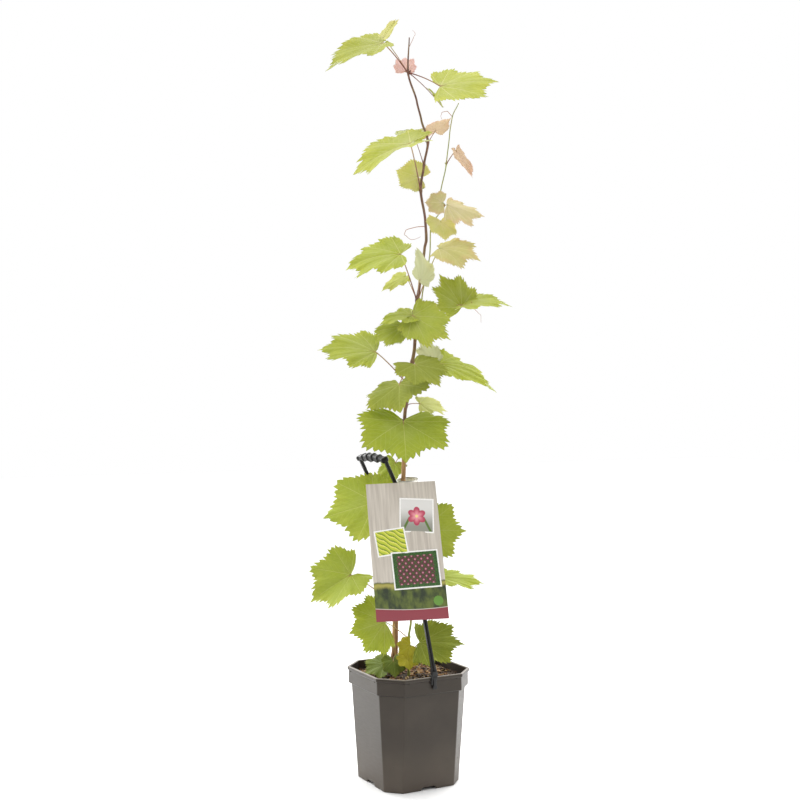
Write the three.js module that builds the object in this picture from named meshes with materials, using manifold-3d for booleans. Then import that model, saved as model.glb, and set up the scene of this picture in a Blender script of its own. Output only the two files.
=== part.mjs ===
// A young grapevine in an octagonal nursery pot, with a snap-on carry handle and a hanging plant label.
// Millimetres, +Z up. The pot's sides face X and Y, and the origin is the middle of its underside.
// Every stem and leaf belongs to the vine group, which is turned about Z inside the pot.
// A leaf is a folded, bent blade on a petiole, and one seeded rule shapes them all.
import * as THREE from 'three';
import { mergeVertices } from 'three/addons/utils/BufferGeometryUtils.js';
import Module from 'manifold-3d';

const wasm = await Module();
wasm.setup();

// ---- driving dimensions ------------------------------------------------------------------------

const GAP = 0.3;                    // clearance between pieces that touch
const SLIVER = 0.06;                // edges shorter than this are taken out of a fused mass
const VINE_TURN = -28;              // degrees, the vine group about the pot's axis

// Octagonal pot sections: half the width across flats, and how much of each corner is cut off.
const POT = {
  height: 203, wall: 2.2, floor: 3,
  baseHalf: 76, baseCut: 24.5,
  waistHalf: 87.8, waistCut: 32.5, waistZ: 172,
  collarStep: 4.9, collarCut: 35,
  rimHalf: 95, rimCut: 37, lipHeight: 7, lipProud: 2,
  footHeight: 4, footWidth: 9,
  notchWidth: 25, notchHeight: 5,
  drainRadius: 5, drainRing: 42, drains: 4, padRadius: 18,
};
const SOIL = { top: 190, dome: 3, wallGap: 0.4 };

// Carry handle: a hoop that leans back over the pot, hooked on two opposite sides of the rim.
const HANDLE = {
  footZ: 207.6, kneeZ: 505, gripZ: 584, kneeLean: -35, lean: -74, gripHalf: 50,
  legWidth: 7.2, legThick: 4.5,
  gripDepth: 14, gripHeight: 13, gripArch: 7, fingers: 4, fingerDepth: 3.5,
  clipWidth: 13, clipPlate: 2.6, clipOuter: 21, clipInner: 15, clipTop: 4, clipChamfer: 1, clipSplay: 1.4,
};

// Plant label: a thin card in front of the stems, and the strap that hangs it round them.
const LABEL = {
  topWidth: 121, footWidth: 127, height: 241, thick: 1,
  tilt: 5.2, edgeTilt: 3, x: -3.5, y: -92, z: 423.7,
};
const STRAP = { z: 541, x: -1, y: -35, halfWidth: 19, halfDepth: 56, tall: 11, thick: 1 };

// Stems, in the vine group: rows of height, x, y and diameter, joined smoothly from the foot up.
const LIMBS = {
  trunk: [
    [190.3, -26, 5, 17], [204, -25, 5, 12], [323, -22, 6, 10],
    [469, -14, 4, 9], [560, -8, 2, 8], [639, -7, 0, 7],
  ],
  cane_lower: [
    [639.3, -7, 0, 7], [661, -6, 0, 6.6], [724, 2, 2, 6.4],
    [788, 12, 3, 6.2], [848, 14, 2, 6.2], [865, 16, 0, 6],
  ],
  cane_upper: [
    [865.3, 16, 0, 6], [898, 21, -2, 5.4], [964, 30, -3, 5], [979, 33, -3, 5.4],
    [1016, 31, 0, 4.6], [1071, 23, 3, 4.8], [1117, 29, 5, 4.2], [1159, 36, 5, 4.4],
    [1198, 24, 2, 3.8], [1230, 16, 0, 3.6], [1283, 0, -2, 3.6], [1347, 2, -3, 2],
  ],
  side_shoot: [
    [798, 18, 10, 2.6], [871, 25, 12, 2.4], [957, 40, 14, 2.2], [999, 41, 14, 2.2],
    [1012, 44, 12, 2.4], [1028, 56, 10, 2], [1044, 66, 8, 2.4], [1055, 58, 8, 2],
    [1121, 70, 8, 2], [1174, 76, 10, 1.8], [1206, 81, 12, 1.8], [1233, 93, 12, 1.4],
  ],
  basal_shoot: [
    [191, 1, -14, 6], [202, 1, -14, 5], [234, 2, -14, 4.6], [259, 1, -14, 4.4],
    [290, 5, -14, 4], [380, 0, -10, 3.6], [470, -4, -8, 3],
  ],
};
const LIMB_SIDES = 8;

// Leaf outline: reach of the blade, as a share of its length, against the angle from the midrib.
const OUTLINE = [
  [0, 1], [9, 0.83], [27, 0.66], [42, 0.8], [52, 0.92], [62, 0.8], [80, 0.6],
  [93, 0.68], [103, 0.76], [114, 0.66], [130, 0.52], [148, 0.6], [170, 0.12],
];
const LOBE_TIPS = [[0, 1], [52, 0.92], [103, 0.76], [148, 0.6], [170, 0.12]];
const OUTLINE_END = 170;
const MID_RING = 0.5;               // the blade's inner ring of points, as a share of its reach
const LEAF_THICK = 1.2;             // and never under a hundredth of a leaf's length
const WAVE = 0.035;                 // height of the margin's waves, as a share of the length
const PETIOLE = { sides: 4, steps: 4, base: 1.3, tip: 0.9 };
const SPUR = { sides: 6, base: 1.7, tip: 1.2, start: 0.9, length: 5, rise: 0.4 };
const PETIOLE_BOW = 0.08;           // how far a petiole arches up, as a share of its length
const PETIOLE_END = 0.14;           // where it ends under the midrib, as a share of the blade's length

// Colour and roughness of each finish.
const FINISH = {
  pot: ['#5d554f', 0.55],
  soil: ['#6b4a30', 0.95],
  bark: ['#a97f55', 0.9],
  cane: ['#6e5046', 0.7],
  shoot: ['#8d9a50', 0.6],
  leaf: ['#a3b23a', 0.55],
  handle: ['#1d1c1c', 0.45],
  card: ['#c9c6bf', 0.4],
};

// ---- small helpers -----------------------------------------------------------------------------

const toRadians = (degrees) => (degrees * Math.PI) / 180;

// Unit vector from a heading about Z and a rise above level, in degrees.
function direction(heading, rise) {
  const [h, r] = [toRadians(heading), toRadians(rise)];
  return new THREE.Vector3(Math.cos(r) * Math.cos(h), Math.cos(r) * Math.sin(h), Math.sin(r));
}

// Straight-line value at a place in rows of [place, value].

function table(rows, at) {
  const next = rows.findIndex((row) => row[0] >= at);
  if (next <= 0) return rows[next === 0 ? 0 : rows.length - 1][1];
  const [before, after] = [rows[next - 1], rows[next]];
  return before[1] + ((after[1] - before[1]) * (at - before[0])) / (after[0] - before[0]);
}

// A seeded stream of numbers from 0 to 1.
function seeded(seed) {
  let state = seed * 7919 + 17;
  return () => {
    state = (state * 16807) % 2147483647;
    return state / 2147483647;
  };
}

function geometryFrom(points, triangles) {
  const geometry = new THREE.BufferGeometry();
  geometry.setAttribute('position', new THREE.Float32BufferAttribute(points.flat(), 3));
  geometry.setIndex(triangles.flat());
  return geometry;
}

function toSolid(geometry) {
  const bare = geometry.clone();
  bare.deleteAttribute('normal');
  bare.deleteAttribute('uv');
  const merged = mergeVertices(bare, 1e-4);
  const vertProperties = new Float32Array(merged.attributes.position.array);
  const triVerts = new Uint32Array(merged.index.array);
  return new wasm.Manifold(new wasm.Mesh({ numProp: 3, vertProperties, triVerts }));
}

function toGeometry(solid) {
  const { vertProperties, triVerts } = solid.getMesh();
  const geometry = new THREE.BufferGeometry();
  geometry.setAttribute('position', new THREE.BufferAttribute(new Float32Array(vertProperties), 3));
  geometry.setIndex(new THREE.BufferAttribute(new Uint32Array(triVerts), 1));
  return geometry;
}

// Fuses closed bodies into one, without the slivers and loose scraps that crossing faces leave.
function fuse(geometries) {
  const whole = geometries.map(toSolid).reduce((sum, solid) => sum.add(solid)).simplify(SLIVER);
  const pieces = whole.decompose().sort((first, second) => second.volume() - first.volume());
  return toGeometry(pieces[0]);
}

// Joins rings of points into a closed body. Rings run from the start cap to the end cap, and each
// turns anticlockwise as seen from the end.
function loft(rings, startCentre, endCentre) {
  const sides = rings[0].length;
  const points = [...rings.flat(), startCentre, endCentre];
  const [start, end] = [points.length - 2, points.length - 1];
  const triangles = [];
  for (let side = 0; side < sides; side += 1) {
    const next = (side + 1) % sides;
    triangles.push([start, next, side]);
    for (let ring = 0; ring + 1 < rings.length; ring += 1) {
      const [low, high] = [ring * sides, (ring + 1) * sides];
      triangles.push([low + side, low + next, high + next], [low + side, high + next, high + side]);
    }
    const last = (rings.length - 1) * sides;
    triangles.push([last + side, last + next, end]);
  }
  return geometryFrom(points, triangles);
}

function mesh(name, finish, geometry) {
  const [color, roughness] = FINISH[finish];
  const material = new THREE.MeshStandardMaterial({ color, roughness, metalness: 0, flatShading: true });
  const piece = new THREE.Mesh(geometry, material);
  piece.name = name;
  return piece;
}

// ---- pot and compost ---------------------------------------------------------------------------

function octagon(half, cut, z) {
  const short = half - cut;
  return [[half, -short, z], [half, short, z], [short, half, z], [-short, half, z],
    [-half, short, z], [-half, -short, z], [-short, -half, z], [short, -half, z]];
}

// Outer sections of the pot from its foot to its rim: height, half width and corner cut.
function potSections() {
  const collarHalf = POT.waistHalf + POT.collarStep;
  const lipZ = POT.height - POT.lipHeight;
  return [
    [0, POT.baseHalf, POT.baseCut],
    [POT.waistZ, POT.waistHalf, POT.waistCut],
    [POT.waistZ + 1.5, collarHalf, POT.collarCut],
    [lipZ, POT.rimHalf - POT.lipProud, POT.rimCut - 0.8],
    [lipZ + 0.5, POT.rimHalf, POT.rimCut],
    [POT.height, POT.rimHalf, POT.rimCut],
  ];
}

// The inner wall follows the outer one, so the collar shows inside as a ledge.
function innerSections(gap) {
  const inset = POT.wall + gap;
  const corner = 0.59 * inset;      // keeps the wall even across the cut corners
  const collarHalf = POT.waistHalf + POT.collarStep;
  const floorZ = POT.footHeight + POT.floor + gap;
  const share = floorZ / POT.waistZ;
  const floorHalf = POT.baseHalf + (POT.waistHalf - POT.baseHalf) * share;
  const floorCut = POT.baseCut + (POT.waistCut - POT.baseCut) * share;
  return [
    [floorZ, floorHalf - inset, floorCut - corner],
    [POT.waistZ + 3, POT.waistHalf - inset, POT.waistCut - corner],
    [POT.waistZ + 5, collarHalf - inset, POT.collarCut - corner],
    [POT.height, POT.rimHalf - POT.lipProud - inset, POT.rimCut - 0.8 - corner],
  ];
}

function pot() {
  const ring = ([z, half, cut]) => octagon(half, cut, z);
  const outer = potSections().map(ring);
  const inner = innerSections(0).map(ring).reverse();
  const footHalf = POT.baseHalf - POT.footWidth;
  const recess = octagon(footHalf, POT.baseCut - 2, POT.footHeight);
  const footInner = octagon(footHalf, POT.baseCut - 2, 0);
  const floorZ = POT.footHeight + POT.floor;
  const shell = loft([recess, footInner, ...outer, ...inner], [0, 0, POT.footHeight], [0, 0, floorZ]);

  const notchProfile = new THREE.Shape();
  notchProfile.absellipse(0, 0, POT.notchWidth / 2, POT.notchHeight, 0, 2 * Math.PI);
  const notch = new THREE.ExtrudeGeometry(notchProfile, {
    depth: 2 * POT.rimHalf, bevelEnabled: false, curveSegments: 8,
  });
  notch.translate(0, 0, -POT.rimHalf);
  notch.rotateX(Math.PI / 2);
  const acrossNotch = notch.clone().rotateZ(Math.PI / 2);
  const drain = new THREE.CylinderGeometry(POT.drainRadius, POT.drainRadius, 4 * POT.floor, 10);
  drain.rotateX(Math.PI / 2);

  // A round pad under the middle of the floor stands level with the foot.
  const padHeight = POT.footHeight + POT.floor / 2;
  const pad = new THREE.CylinderGeometry(POT.padRadius, POT.padRadius, padHeight, 24);
  pad.rotateX(Math.PI / 2);
  pad.translate(0, 0, padHeight / 2);

  let solid = toSolid(shell).add(toSolid(pad));
  solid = solid.subtract(toSolid(footOnly(notch))).subtract(toSolid(footOnly(acrossNotch)));
  for (let hole = 0; hole < POT.drains; hole += 1) {
    const turn = toRadians(45 + (360 / POT.drains) * hole);
    const [x, y] = [POT.drainRing * Math.cos(turn), POT.drainRing * Math.sin(turn)];
    const placed = drain.clone().translate(x, y, floorZ);
    solid = solid.subtract(toSolid(placed));
  }
  return toGeometry(solid);
}

// Keeps a cutter under the pot's floor and clear of the pad, so that it only notches the foot.
function footOnly(cutter) {
  const reach = 3 * POT.rimHalf;
  const keep = toSolid(new THREE.BoxGeometry(reach, reach, 2 * POT.footHeight));
  const clear = toSolid(new THREE.BoxGeometry(3 * POT.padRadius, 3 * POT.padRadius, 4 * POT.footHeight));
  return toGeometry(toSolid(cutter).intersect(keep).subtract(clear));
}

function soil() {
  const sections = innerSections(SOIL.wallGap);
  const levels = sections.filter(([z]) => z < SOIL.top);
  const [lowZ, lowHalf, lowCut] = levels.at(-1);
  const [highZ, highHalf, highCut] = sections.at(-1);
  const share = (SOIL.top - lowZ) / (highZ - lowZ);
  const topHalf = lowHalf + (highHalf - lowHalf) * share;
  const topCut = lowCut + (highCut - lowCut) * share;
  const rings = levels.map(([z, half, cut]) => octagon(half, cut, z));
  rings.push(octagon(topHalf, topCut, SOIL.top - SOIL.dome));
  rings.push(octagon(topHalf * 0.7, topCut * 0.7, SOIL.top - 0.6));
  return loft(rings, [0, 0, levels[0][0]], [0, 0, SOIL.top]);
}

// ---- stems -------------------------------------------------------------------------------------

// Centre and radius of a limb at a height: cubic steps between its rows, with each row's slope
// taken from the rows beside it.
function limbAt(rows, z) {
  const last = rows.length - 1;
  const high = Math.min(last, Math.max(1, rows.findIndex((row) => row[0] >= z)));
  const at = z >= rows[last][0] ? last : high;
  const low = at - 1;
  const span = rows[at][0] - rows[low][0];
  const t = Math.min(1, Math.max(0, (z - rows[low][0]) / span));
  const slope = (row, axis) => {
    const [a, b] = [rows[Math.max(0, row - 1)], rows[Math.min(last, row + 1)]];
    return (0.6 * (b[axis] - a[axis])) / (b[0] - a[0]);
  };
  const blend = (axis) => {
    const [from, to] = [rows[low][axis], rows[at][axis]];
    const [leave, arrive] = [slope(low, axis) * span, slope(at, axis) * span];
    return from + (3 * t * t - 2 * t * t * t) * (to - from)
      + t * (1 - t) * (1 - t) * leave - t * t * (1 - t) * arrive;
  };
  const radius = (rows[low][3] + t * (rows[at][3] - rows[low][3])) / 2;
  return { x: blend(1), y: blend(2), radius };
}

function limb(rows) {
  const levels = rows.map(([z]) => z);
  const heights = levels.flatMap((z, index) => (index === 0 ? [z] : [(levels[index - 1] + z) / 2, z]));
  const rings = heights.map((z) => {
    const { x, y, radius } = limbAt(rows, z);
    return Array.from({ length: LIMB_SIDES }, (_, side) => {
      const turn = (2 * Math.PI * side) / LIMB_SIDES;
      return [x + radius * Math.cos(turn), y + radius * Math.sin(turn), z];
    });
  });
  const middle = (z) => [limbAt(rows, z).x, limbAt(rows, z).y, z];
  return loft(rings, middle(heights[0]), middle(heights.at(-1)));
}

// ---- leaves ------------------------------------------------------------------------------------

// One leaf: its petiole's length, heading and rise; its blade's heading, pitch and roll; length and
// width factor; bend along the midrib, fold of the left and right halves, and twist; the spread of
// its outline, and how deep its lobes are cut. Lengths in mm, angles in degrees.
function leaf(petiole, blade, [length, width], [bend, left, right, twist], spread, lobing) {
  return { petiole, blade, length, width, bend, left, right, twist, spread, lobing };
}

// Unit vectors along the midrib, across to the left half, and out of the upper face.
function bladeAxes([heading, pitch, roll]) {
  const r = toRadians(roll);
  const along = direction(heading, pitch);
  const level = direction(heading, pitch + 90);
  const side = new THREE.Vector3().crossVectors(level, along);
  const across = side.clone().multiplyScalar(Math.cos(r)).addScaledVector(level, -Math.sin(r));
  const up = level.clone().multiplyScalar(Math.cos(r)).addScaledVector(side, Math.sin(r));
  return { along, across, up };
}

function bladeReach(angle, lobing) {
  const plain = table(LOBE_TIPS, Math.abs(angle));
  return plain + lobing * (table(OUTLINE, Math.abs(angle)) - plain);
}

// A point of the flat blade is folded about the midrib, waved at its margin, twisted and then bent.
function bladePoint(item, angle, share, lift) {
  const turn = toRadians((angle * item.spread) / OUTLINE_END);
  const reach = item.length * share * bladeReach(angle, item.lobing);
  const x = reach * Math.cos(turn);
  const flatY = item.width * reach * Math.sin(turn);
  const fold = toRadians(flatY > 0 ? item.left : item.right);
  const foldedY = flatY * Math.cos(fold);
  const foldedZ = Math.abs(flatY) * Math.sin(fold)
    + WAVE * item.length * share * share * Math.sin(item.waves * turn + item.phase) + lift;
  const twist = (toRadians(item.twist) * x) / item.length;
  const y = foldedY * Math.cos(twist) - foldedZ * Math.sin(twist);
  const z = foldedY * Math.sin(twist) + foldedZ * Math.cos(twist);
  const curl = toRadians(item.bend) / item.length;
  if (Math.abs(curl) < 1e-6) return [x, y, z];
  return [Math.sin(curl * x) / curl + z * Math.sin(curl * x), y,
    (Math.cos(curl * x) - 1) / curl + z * Math.cos(curl * x)];
}

function placeOnBlade(item, local) {
  return item.joint.clone()
    .addScaledVector(item.axes.along, local[0])
    .addScaledVector(item.axes.across, local[1])
    .addScaledVector(item.axes.up, local[2]);
}

// The blade as a closed slab, alike above and below: rays go out from the petiole joint to an inner
// ring, and twice as many points stand along the margin.
function blade(item) {
  const half = Math.max(LEAF_THICK, item.length / 90) / 2;
  const leftAngles = OUTLINE.map(([angle]) => angle);
  const rightAngles = leftAngles.slice(1).map((angle) => -angle).reverse();
  const angles = [...rightAngles, ...leftAngles];
  const rays = angles.length;
  const innerRays = (rays + 1) / 2;
  const inner = (face, ray) => face * (1 + innerRays + rays) + 1 + ray;
  const outer = (face, ray) => inner(face, innerRays + ray);
  const centre = (face) => inner(face, -1);
  const points = [];
  for (const lift of [half, -half]) {
    const add = (angle, share) => {
      points.push(placeOnBlade(item, bladePoint(item, angle, share, lift)).toArray());
    };
    add(0, 0);
    for (let ray = 0; ray < rays; ray += 2) add(angles[ray], MID_RING);
    for (const angle of angles) add(angle, 1);
  }
  const triangles = [];
  for (const face of [0, 1]) {
    const add = (a, b, c) => triangles.push(face === 0 ? [a, b, c] : [c, b, a]);
    for (let ray = 0; ray + 1 < innerRays; ray += 1) {
      const [from, to, edge] = [inner(face, ray), inner(face, ray + 1), 2 * ray];
      add(centre(face), from, to);
      add(from, outer(face, edge), outer(face, edge + 1));
      add(from, outer(face, edge + 1), to);
      add(to, outer(face, edge + 1), outer(face, edge + 2));
    }
  }
  const above = [centre(0), inner(0, 0)];
  const below = [centre(1), inner(1, 0)];
  for (let ray = 0; ray < rays; ray += 1) {
    above.push(outer(0, ray));
    below.push(outer(1, ray));
  }
  above.push(inner(0, innerRays - 1));
  below.push(inner(1, innerRays - 1));
  above.forEach((corner, index) => {
    const next = (index + 1) % above.length;
    triangles.push([corner, below[index], below[next]], [corner, below[next], above[next]]);
  });
  return geometryFrom(points, triangles);
}

// A rod through a list of centres, its radius going evenly from the first value to the second.
function rod(centres, startRadius, endRadius, sides) {
  const rings = centres.map((centre, step) => {
    const before = centres[Math.max(0, step - 1)];
    const after = centres[Math.min(centres.length - 1, step + 1)];
    const along = after.clone().sub(before).normalize();
    const helper = Math.abs(along.z) < 0.9 ? new THREE.Vector3(0, 0, 1) : new THREE.Vector3(1, 0, 0);
    const first = new THREE.Vector3().crossVectors(helper, along).normalize();
    const second = new THREE.Vector3().crossVectors(along, first);
    const radius = startRadius + ((endRadius - startRadius) * step) / (centres.length - 1);
    return Array.from({ length: sides }, (_, side) => {
      const turn = (2 * Math.PI * side) / sides;
      return centre.clone().addScaledVector(first, radius * Math.cos(turn))
        .addScaledVector(second, radius * Math.sin(turn)).toArray();
    });
  });
  return loft(rings, centres[0].toArray(), centres.at(-1).toArray());
}

// The petiole leaves its node steeply, arches over to the joint and runs a little way into the blade.
function petiole(item, node, rows) {
  const [length, heading] = item.petiole;
  const { radius } = limbAt(rows, node.z);
  const start = node.clone().addScaledVector(direction(heading, 0), radius + 2 * GAP + PETIOLE.base);
  const bow = start.clone().lerp(item.joint, 0.5).add(new THREE.Vector3(0, 0, PETIOLE_BOW * length));
  const curve = new THREE.QuadraticBezierCurve3(start, bow, item.joint);
  const centres = curve.getPoints(PETIOLE.steps);
  centres.push(placeOnBlade(item, bladePoint(item, 0, PETIOLE_END, 0)));
  return rod(centres, PETIOLE.base, PETIOLE.tip, PETIOLE.sides);
}

// A spur stands off the limb where the petioles of one mass spring from it.
function spur(items, node, rows) {
  const outward = new THREE.Vector3();
  for (const item of items) outward.add(direction(item.petiole[1], 0));
  outward.normalize();
  const { radius } = limbAt(rows, node.z);
  const reach = (far) => node.clone().addScaledVector(outward, radius + GAP + far)
    .add(new THREE.Vector3(0, 0, SPUR.rise * far));
  const centres = [SPUR.start, SPUR.length / 2, SPUR.length].map(reach);
  return rod(centres, SPUR.base, SPUR.tip, SPUR.sides);
}

function mass([name, limbName, height, items], seed) {
  const rows = LIMBS[limbName];
  const { x, y } = limbAt(rows, height);
  const node = new THREE.Vector3(x, y, height);
  const random = seeded(seed + 1);
  const pieces = [];
  for (const item of items) {
    const [length, heading, rise] = item.petiole;
    item.joint = node.clone().addScaledVector(direction(heading, rise), length);
    item.axes = bladeAxes(item.blade);
    item.waves = 4 + Math.floor(3 * random());
    item.phase = 2 * Math.PI * random();
    pieces.push(petiole(item, node, rows), blade(item));
  }
  if (items.length > 1) pieces.push(spur(items, node, rows));
  return mesh(name, 'leaf', fuse(pieces));
}

// Masses of foliage: name, limb, height of the node on it, and the leaves that spring from there.
const FOLIAGE = [
  ['leaves_tip_left', 'cane_upper', 1283, [
    leaf([69, -168, 48], [184, -18, 30], [114, 0.9], [14, 8, 4, 0], 112, 0.6),
    leaf([77, -175, 54], [0, 52, -48], [44, 0.46], [0, 10, 10, 0], 110, 0.6)]],
  ['leaf_tip_pink', 'cane_upper', 1283, [
    leaf([18, 109, 18], [90, 75, 0], [32, 1], [10, 20, 20, 0], 120, 1)]],
  ['leaves_tip_right', 'cane_upper', 1283, [
    leaf([64, -6, -24], [-6, 12, -42], [104, 1.12], [24, -8, 4, 0], 118, 1),
    leaf([94, -18, -46], [180, 62, 14], [46, 0.7], [20, 0, 0, 0], 90, 1)]],
  ['leaf_young_peach', 'cane_upper', 1158, [
    leaf([24, 12, 56], [60, 60, 10], [43, 1], [30, 0, 0, 0], 140, 1)]],
  ['leaf_upper_left', 'cane_upper', 1070, [
    leaf([97, -108, 49], [172, -14, 33], [118, 0.9], [28, 16, -4, -18], 145, 1)]],
  ['leaf_upper_back', 'cane_upper', 1070, [
    leaf([29, 112, 66], [178, 18, 70], [42, 1], [10, 0, 0, 0], 160, 0.6)]],
  ['leaf_side_pink', 'side_shoot', 1119, [
    leaf([30, -19, 53], [0, -57, -50], [58, 0.34], [0, 10, 10, 0], 115, 0.5)]],
  ['leaf_side_small', 'side_shoot', 1043, [
    leaf([16, -102, 8], [172, 5, 74], [33, 1], [10, 0, 0, 0], 120, 0.8)]],
  ['leaf_side_right', 'side_shoot', 1043, [
    leaf([8, -50, 2], [0, -12, -25], [72, 1], [15, 0, -26, 0], 100, 1.2)]],
  ['leaf_side_low', 'side_shoot', 1010, [
    leaf([18, -23, 16], [-68, -56, 0], [44, 0.9], [10, 0, 0, 0], 140, 0.8)]],
  ['leaves_middle_left', 'cane_upper', 870, [
    leaf([88, -155, 68], [174, 2, 34], [108, 0.95], [38, 6, -4, -12], 118, 1),
    leaf([54, 136, 58], [180, -28, 25], [52, 1], [10, 0, 0, 0], 110, 1)]],
  ['leaves_middle_right', 'cane_upper', 870, [
    leaf([54, -87, 34], [0, 52, 42], [74, 0.7], [-95, 0, 0, 0], 96, 0.4),
    leaf([101, -16, 66], [-15, -2, -24], [78, 0.9], [34, 0, -8, 20], 120, 1)]],
  ['leaves_middle_far_right', 'cane_lower', 846, [
    leaf([84, -4, 7], [180, 62, 60], [74, 0.92], [20, 0, 0, 0], 112, 1.2),
    leaf([87, -7, 9], [-8, 16, -16], [90, 1], [38, 4, 4, 0], 120, 1)]],
  ['leaves_middle_front', 'cane_lower', 846, [
    leaf([31, -101, -12], [-20, -30, -62], [80, 0.8], [15, 0, 0, 0], 118, 1),
    leaf([13, -119, -24], [190, 8, 20], [64, 1], [50, 0, 0, 0], 115, 1)]],
  ['leaf_middle_low_left', 'cane_lower', 812, [
    leaf([24, 171, 23], [195, -22, 35], [62, 1], [20, 0, 0, 0], 95, 1)]],
  ['leaf_lower_left', 'cane_lower', 715, [
    leaf([86, -165, 44], [184, 16, 30], [108, 0.9], [32, -4, 4, 0], 100, 1.1)]],
  ['leaves_lower_right', 'cane_lower', 693, [
    leaf([79, -3, 50], [160, 62, -50], [56, 1], [20, 0, 0, 0], 100, 1),
    leaf([85, -9, 46], [-8, -8, -33], [120, 0.56], [44, 0, 0, -30], 122, 1)]],
  ['leaf_lower_front', 'cane_lower', 757, [
    leaf([63, -119, -40], [-94, -32, -22], [76, 1.14], [18, 0, 0, 0], 154, 1)]],
  ['leaf_lower_cover', 'cane_lower', 740, [
    leaf([66, -84, 10], [-36, -30, -20], [66, 1.05], [15, 0, 0, 0], 140, 1)]],
  ['leaf_big_front', 'trunk', 634, [
    leaf([58, -92, 16], [-86, -40, 0], [98, 1.12], [14, -4, 4, 8], 152, 1)]],
  ['leaf_big_behind', 'cane_lower', 679, [
    leaf([39, 49, 3], [10, -4, -25], [56, 1], [20, 0, 0, 0], 110, 1)]],
  ['leaf_handle_small', 'trunk', 593, [
    leaf([41, 116, -30], [200, -50, 30], [46, 1], [20, 0, 0, 0], 120, 1)]],
  ['leaf_label_left', 'trunk', 506, [
    leaf([62, -139, -1], [190, -14, 46], [95, 1.02], [10, 0, 0, 0], 165, 1)]],
  ['leaf_label_right', 'trunk', 433, [
    leaf([45, 2, 23], [0, 0, -76], [80, 1], [10, 0, 0, 0], 130, 1)]],
  ['leaf_low_left', 'trunk', 313, [
    leaf([104, -162, 35], [191, -28, 50], [86, 1], [20, 28, 8, 0], 144, 1.1)]],
  ['leaf_low_right', 'trunk', 333, [
    leaf([85, 3, 20], [-8, 4, -14], [80, 0.8], [25, 0, 0, 0], 100, 1)]],
  ['leaf_foot_left', 'basal_shoot', 257, [
    leaf([62, -146, 34], [190, -14, 64], [66, 1.24], [10, 0, 0, 0], 112, 1)]],
  ['leaf_foot_right', 'basal_shoot', 231, [
    leaf([28, -20, 45], [-8, 4, -40], [80, 0.95], [15, 0, 0, 0], 118, 1)]],
  ['leaf_foot_young', 'basal_shoot', 238, [
    leaf([16, -80, 36], [200, -30, 60], [28, 1], [10, 0, 0, 0], 130, 1)]],
  ['leaf_foot_yellow', 'basal_shoot', 218, [
    leaf([17, -102, 30], [-80, -40, 0], [28, 1], [10, 0, 0, 0], 140, 1)]],
  ['leaf_foot_dark', 'trunk', 222, [
    leaf([28, -95, -7], [-80, -42, 0], [34, 0.85], [20, 0, 0, 0], 165, 1)]],
  ['leaf_foot_rim', 'trunk', 211, [
    leaf([25, -136, -2], [205, -14, 20], [42, 1], [16, 0, 0, 0], 165, 1)]],
  ['leaf_back_upper', 'cane_upper', 1117, [
    leaf([76, 127, 62], [104, 2, 6], [40, 1], [20, 5, 5, 0], 150, 1)]],
  ['leaf_back_middle', 'cane_lower', 848, [
    leaf([60, 70, 0], [78, -12, -6], [60, 0.85], [24, 8, 4, 0], 150, 1)]],
  ['leaf_back_lower', 'cane_lower', 688, [
    leaf([50, 104, 23], [100, -6, 4], [66, 0.9], [26, 6, 6, 0], 155, 1)]],
  ['leaf_back_big', 'trunk', 618, [
    leaf([62, 82, 22], [85, -20, -5], [92, 1], [28, 6, 4, 0], 160, 1)]],
  ['leaf_back_label_high', 'trunk', 500, [
    leaf([60, 84, 15], [80, -20, 5], [78, 0.9], [22, 5, 8, 0], 155, 1)]],
  ['leaf_back_label_low', 'trunk', 400, [
    leaf([56, 70, 15], [82, -25, -4], [84, 1], [24, 6, 5, 0], 160, 1)]],
  ['leaf_back_foot', 'trunk', 325, [
    leaf([50, 75, 12], [64, -18, 6], [56, 0.9], [20, 6, 6, 0], 155, 1)]],
];

// ---- carry handle ------------------------------------------------------------------------------

// The upper part of the hoop leans back from its knees: out along Y, up along the lean, and square
// to both.
function hoopAxes() {
  const up = new THREE.Vector3(HANDLE.lean - HANDLE.kneeLean, 0, HANDLE.gripZ - HANDLE.kneeZ).normalize();
  const out = new THREE.Vector3(0, 1, 0);
  return { out, up, square: new THREE.Vector3().crossVectors(out, up) };
}

// A leg rises from its clip to the knee, drawing in, then leans back to the grip.
function handleLeg(sign) {
  const { footZ, kneeZ, kneeLean, gripHalf, legWidth, legThick } = HANDLE;
  const { up } = hoopAxes();
  const foot = new THREE.Vector3(0, sign * (POT.rimHalf + 1), footZ);
  const knee = new THREE.Vector3(kneeLean, sign * gripHalf, kneeZ);
  const top = new THREE.Vector3(HANDLE.lean, sign * gripHalf, HANDLE.gripZ)
    .addScaledVector(up, -(HANDLE.gripHeight / 2 + GAP) / up.z - 1);
  const [bendStart, bendEnd] = [knee.clone().lerp(foot, 0.1), knee.clone().lerp(top, 0.35)];
  const bend = new THREE.QuadraticBezierCurve3(bendStart, knee, bendEnd);
  const centres = [foot, foot.clone().lerp(knee, 0.45), ...bend.getPoints(3), top];
  const rings = centres.map(({ x, y, z }) => [[1, 1], [-1, 1], [-1, -1], [1, -1]].map(([a, b]) => [
    x + (a * legWidth) / 2, y + (b * legThick) / 2, z]));
  return loft(rings, foot.toArray(), top.toArray());
}

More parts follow.
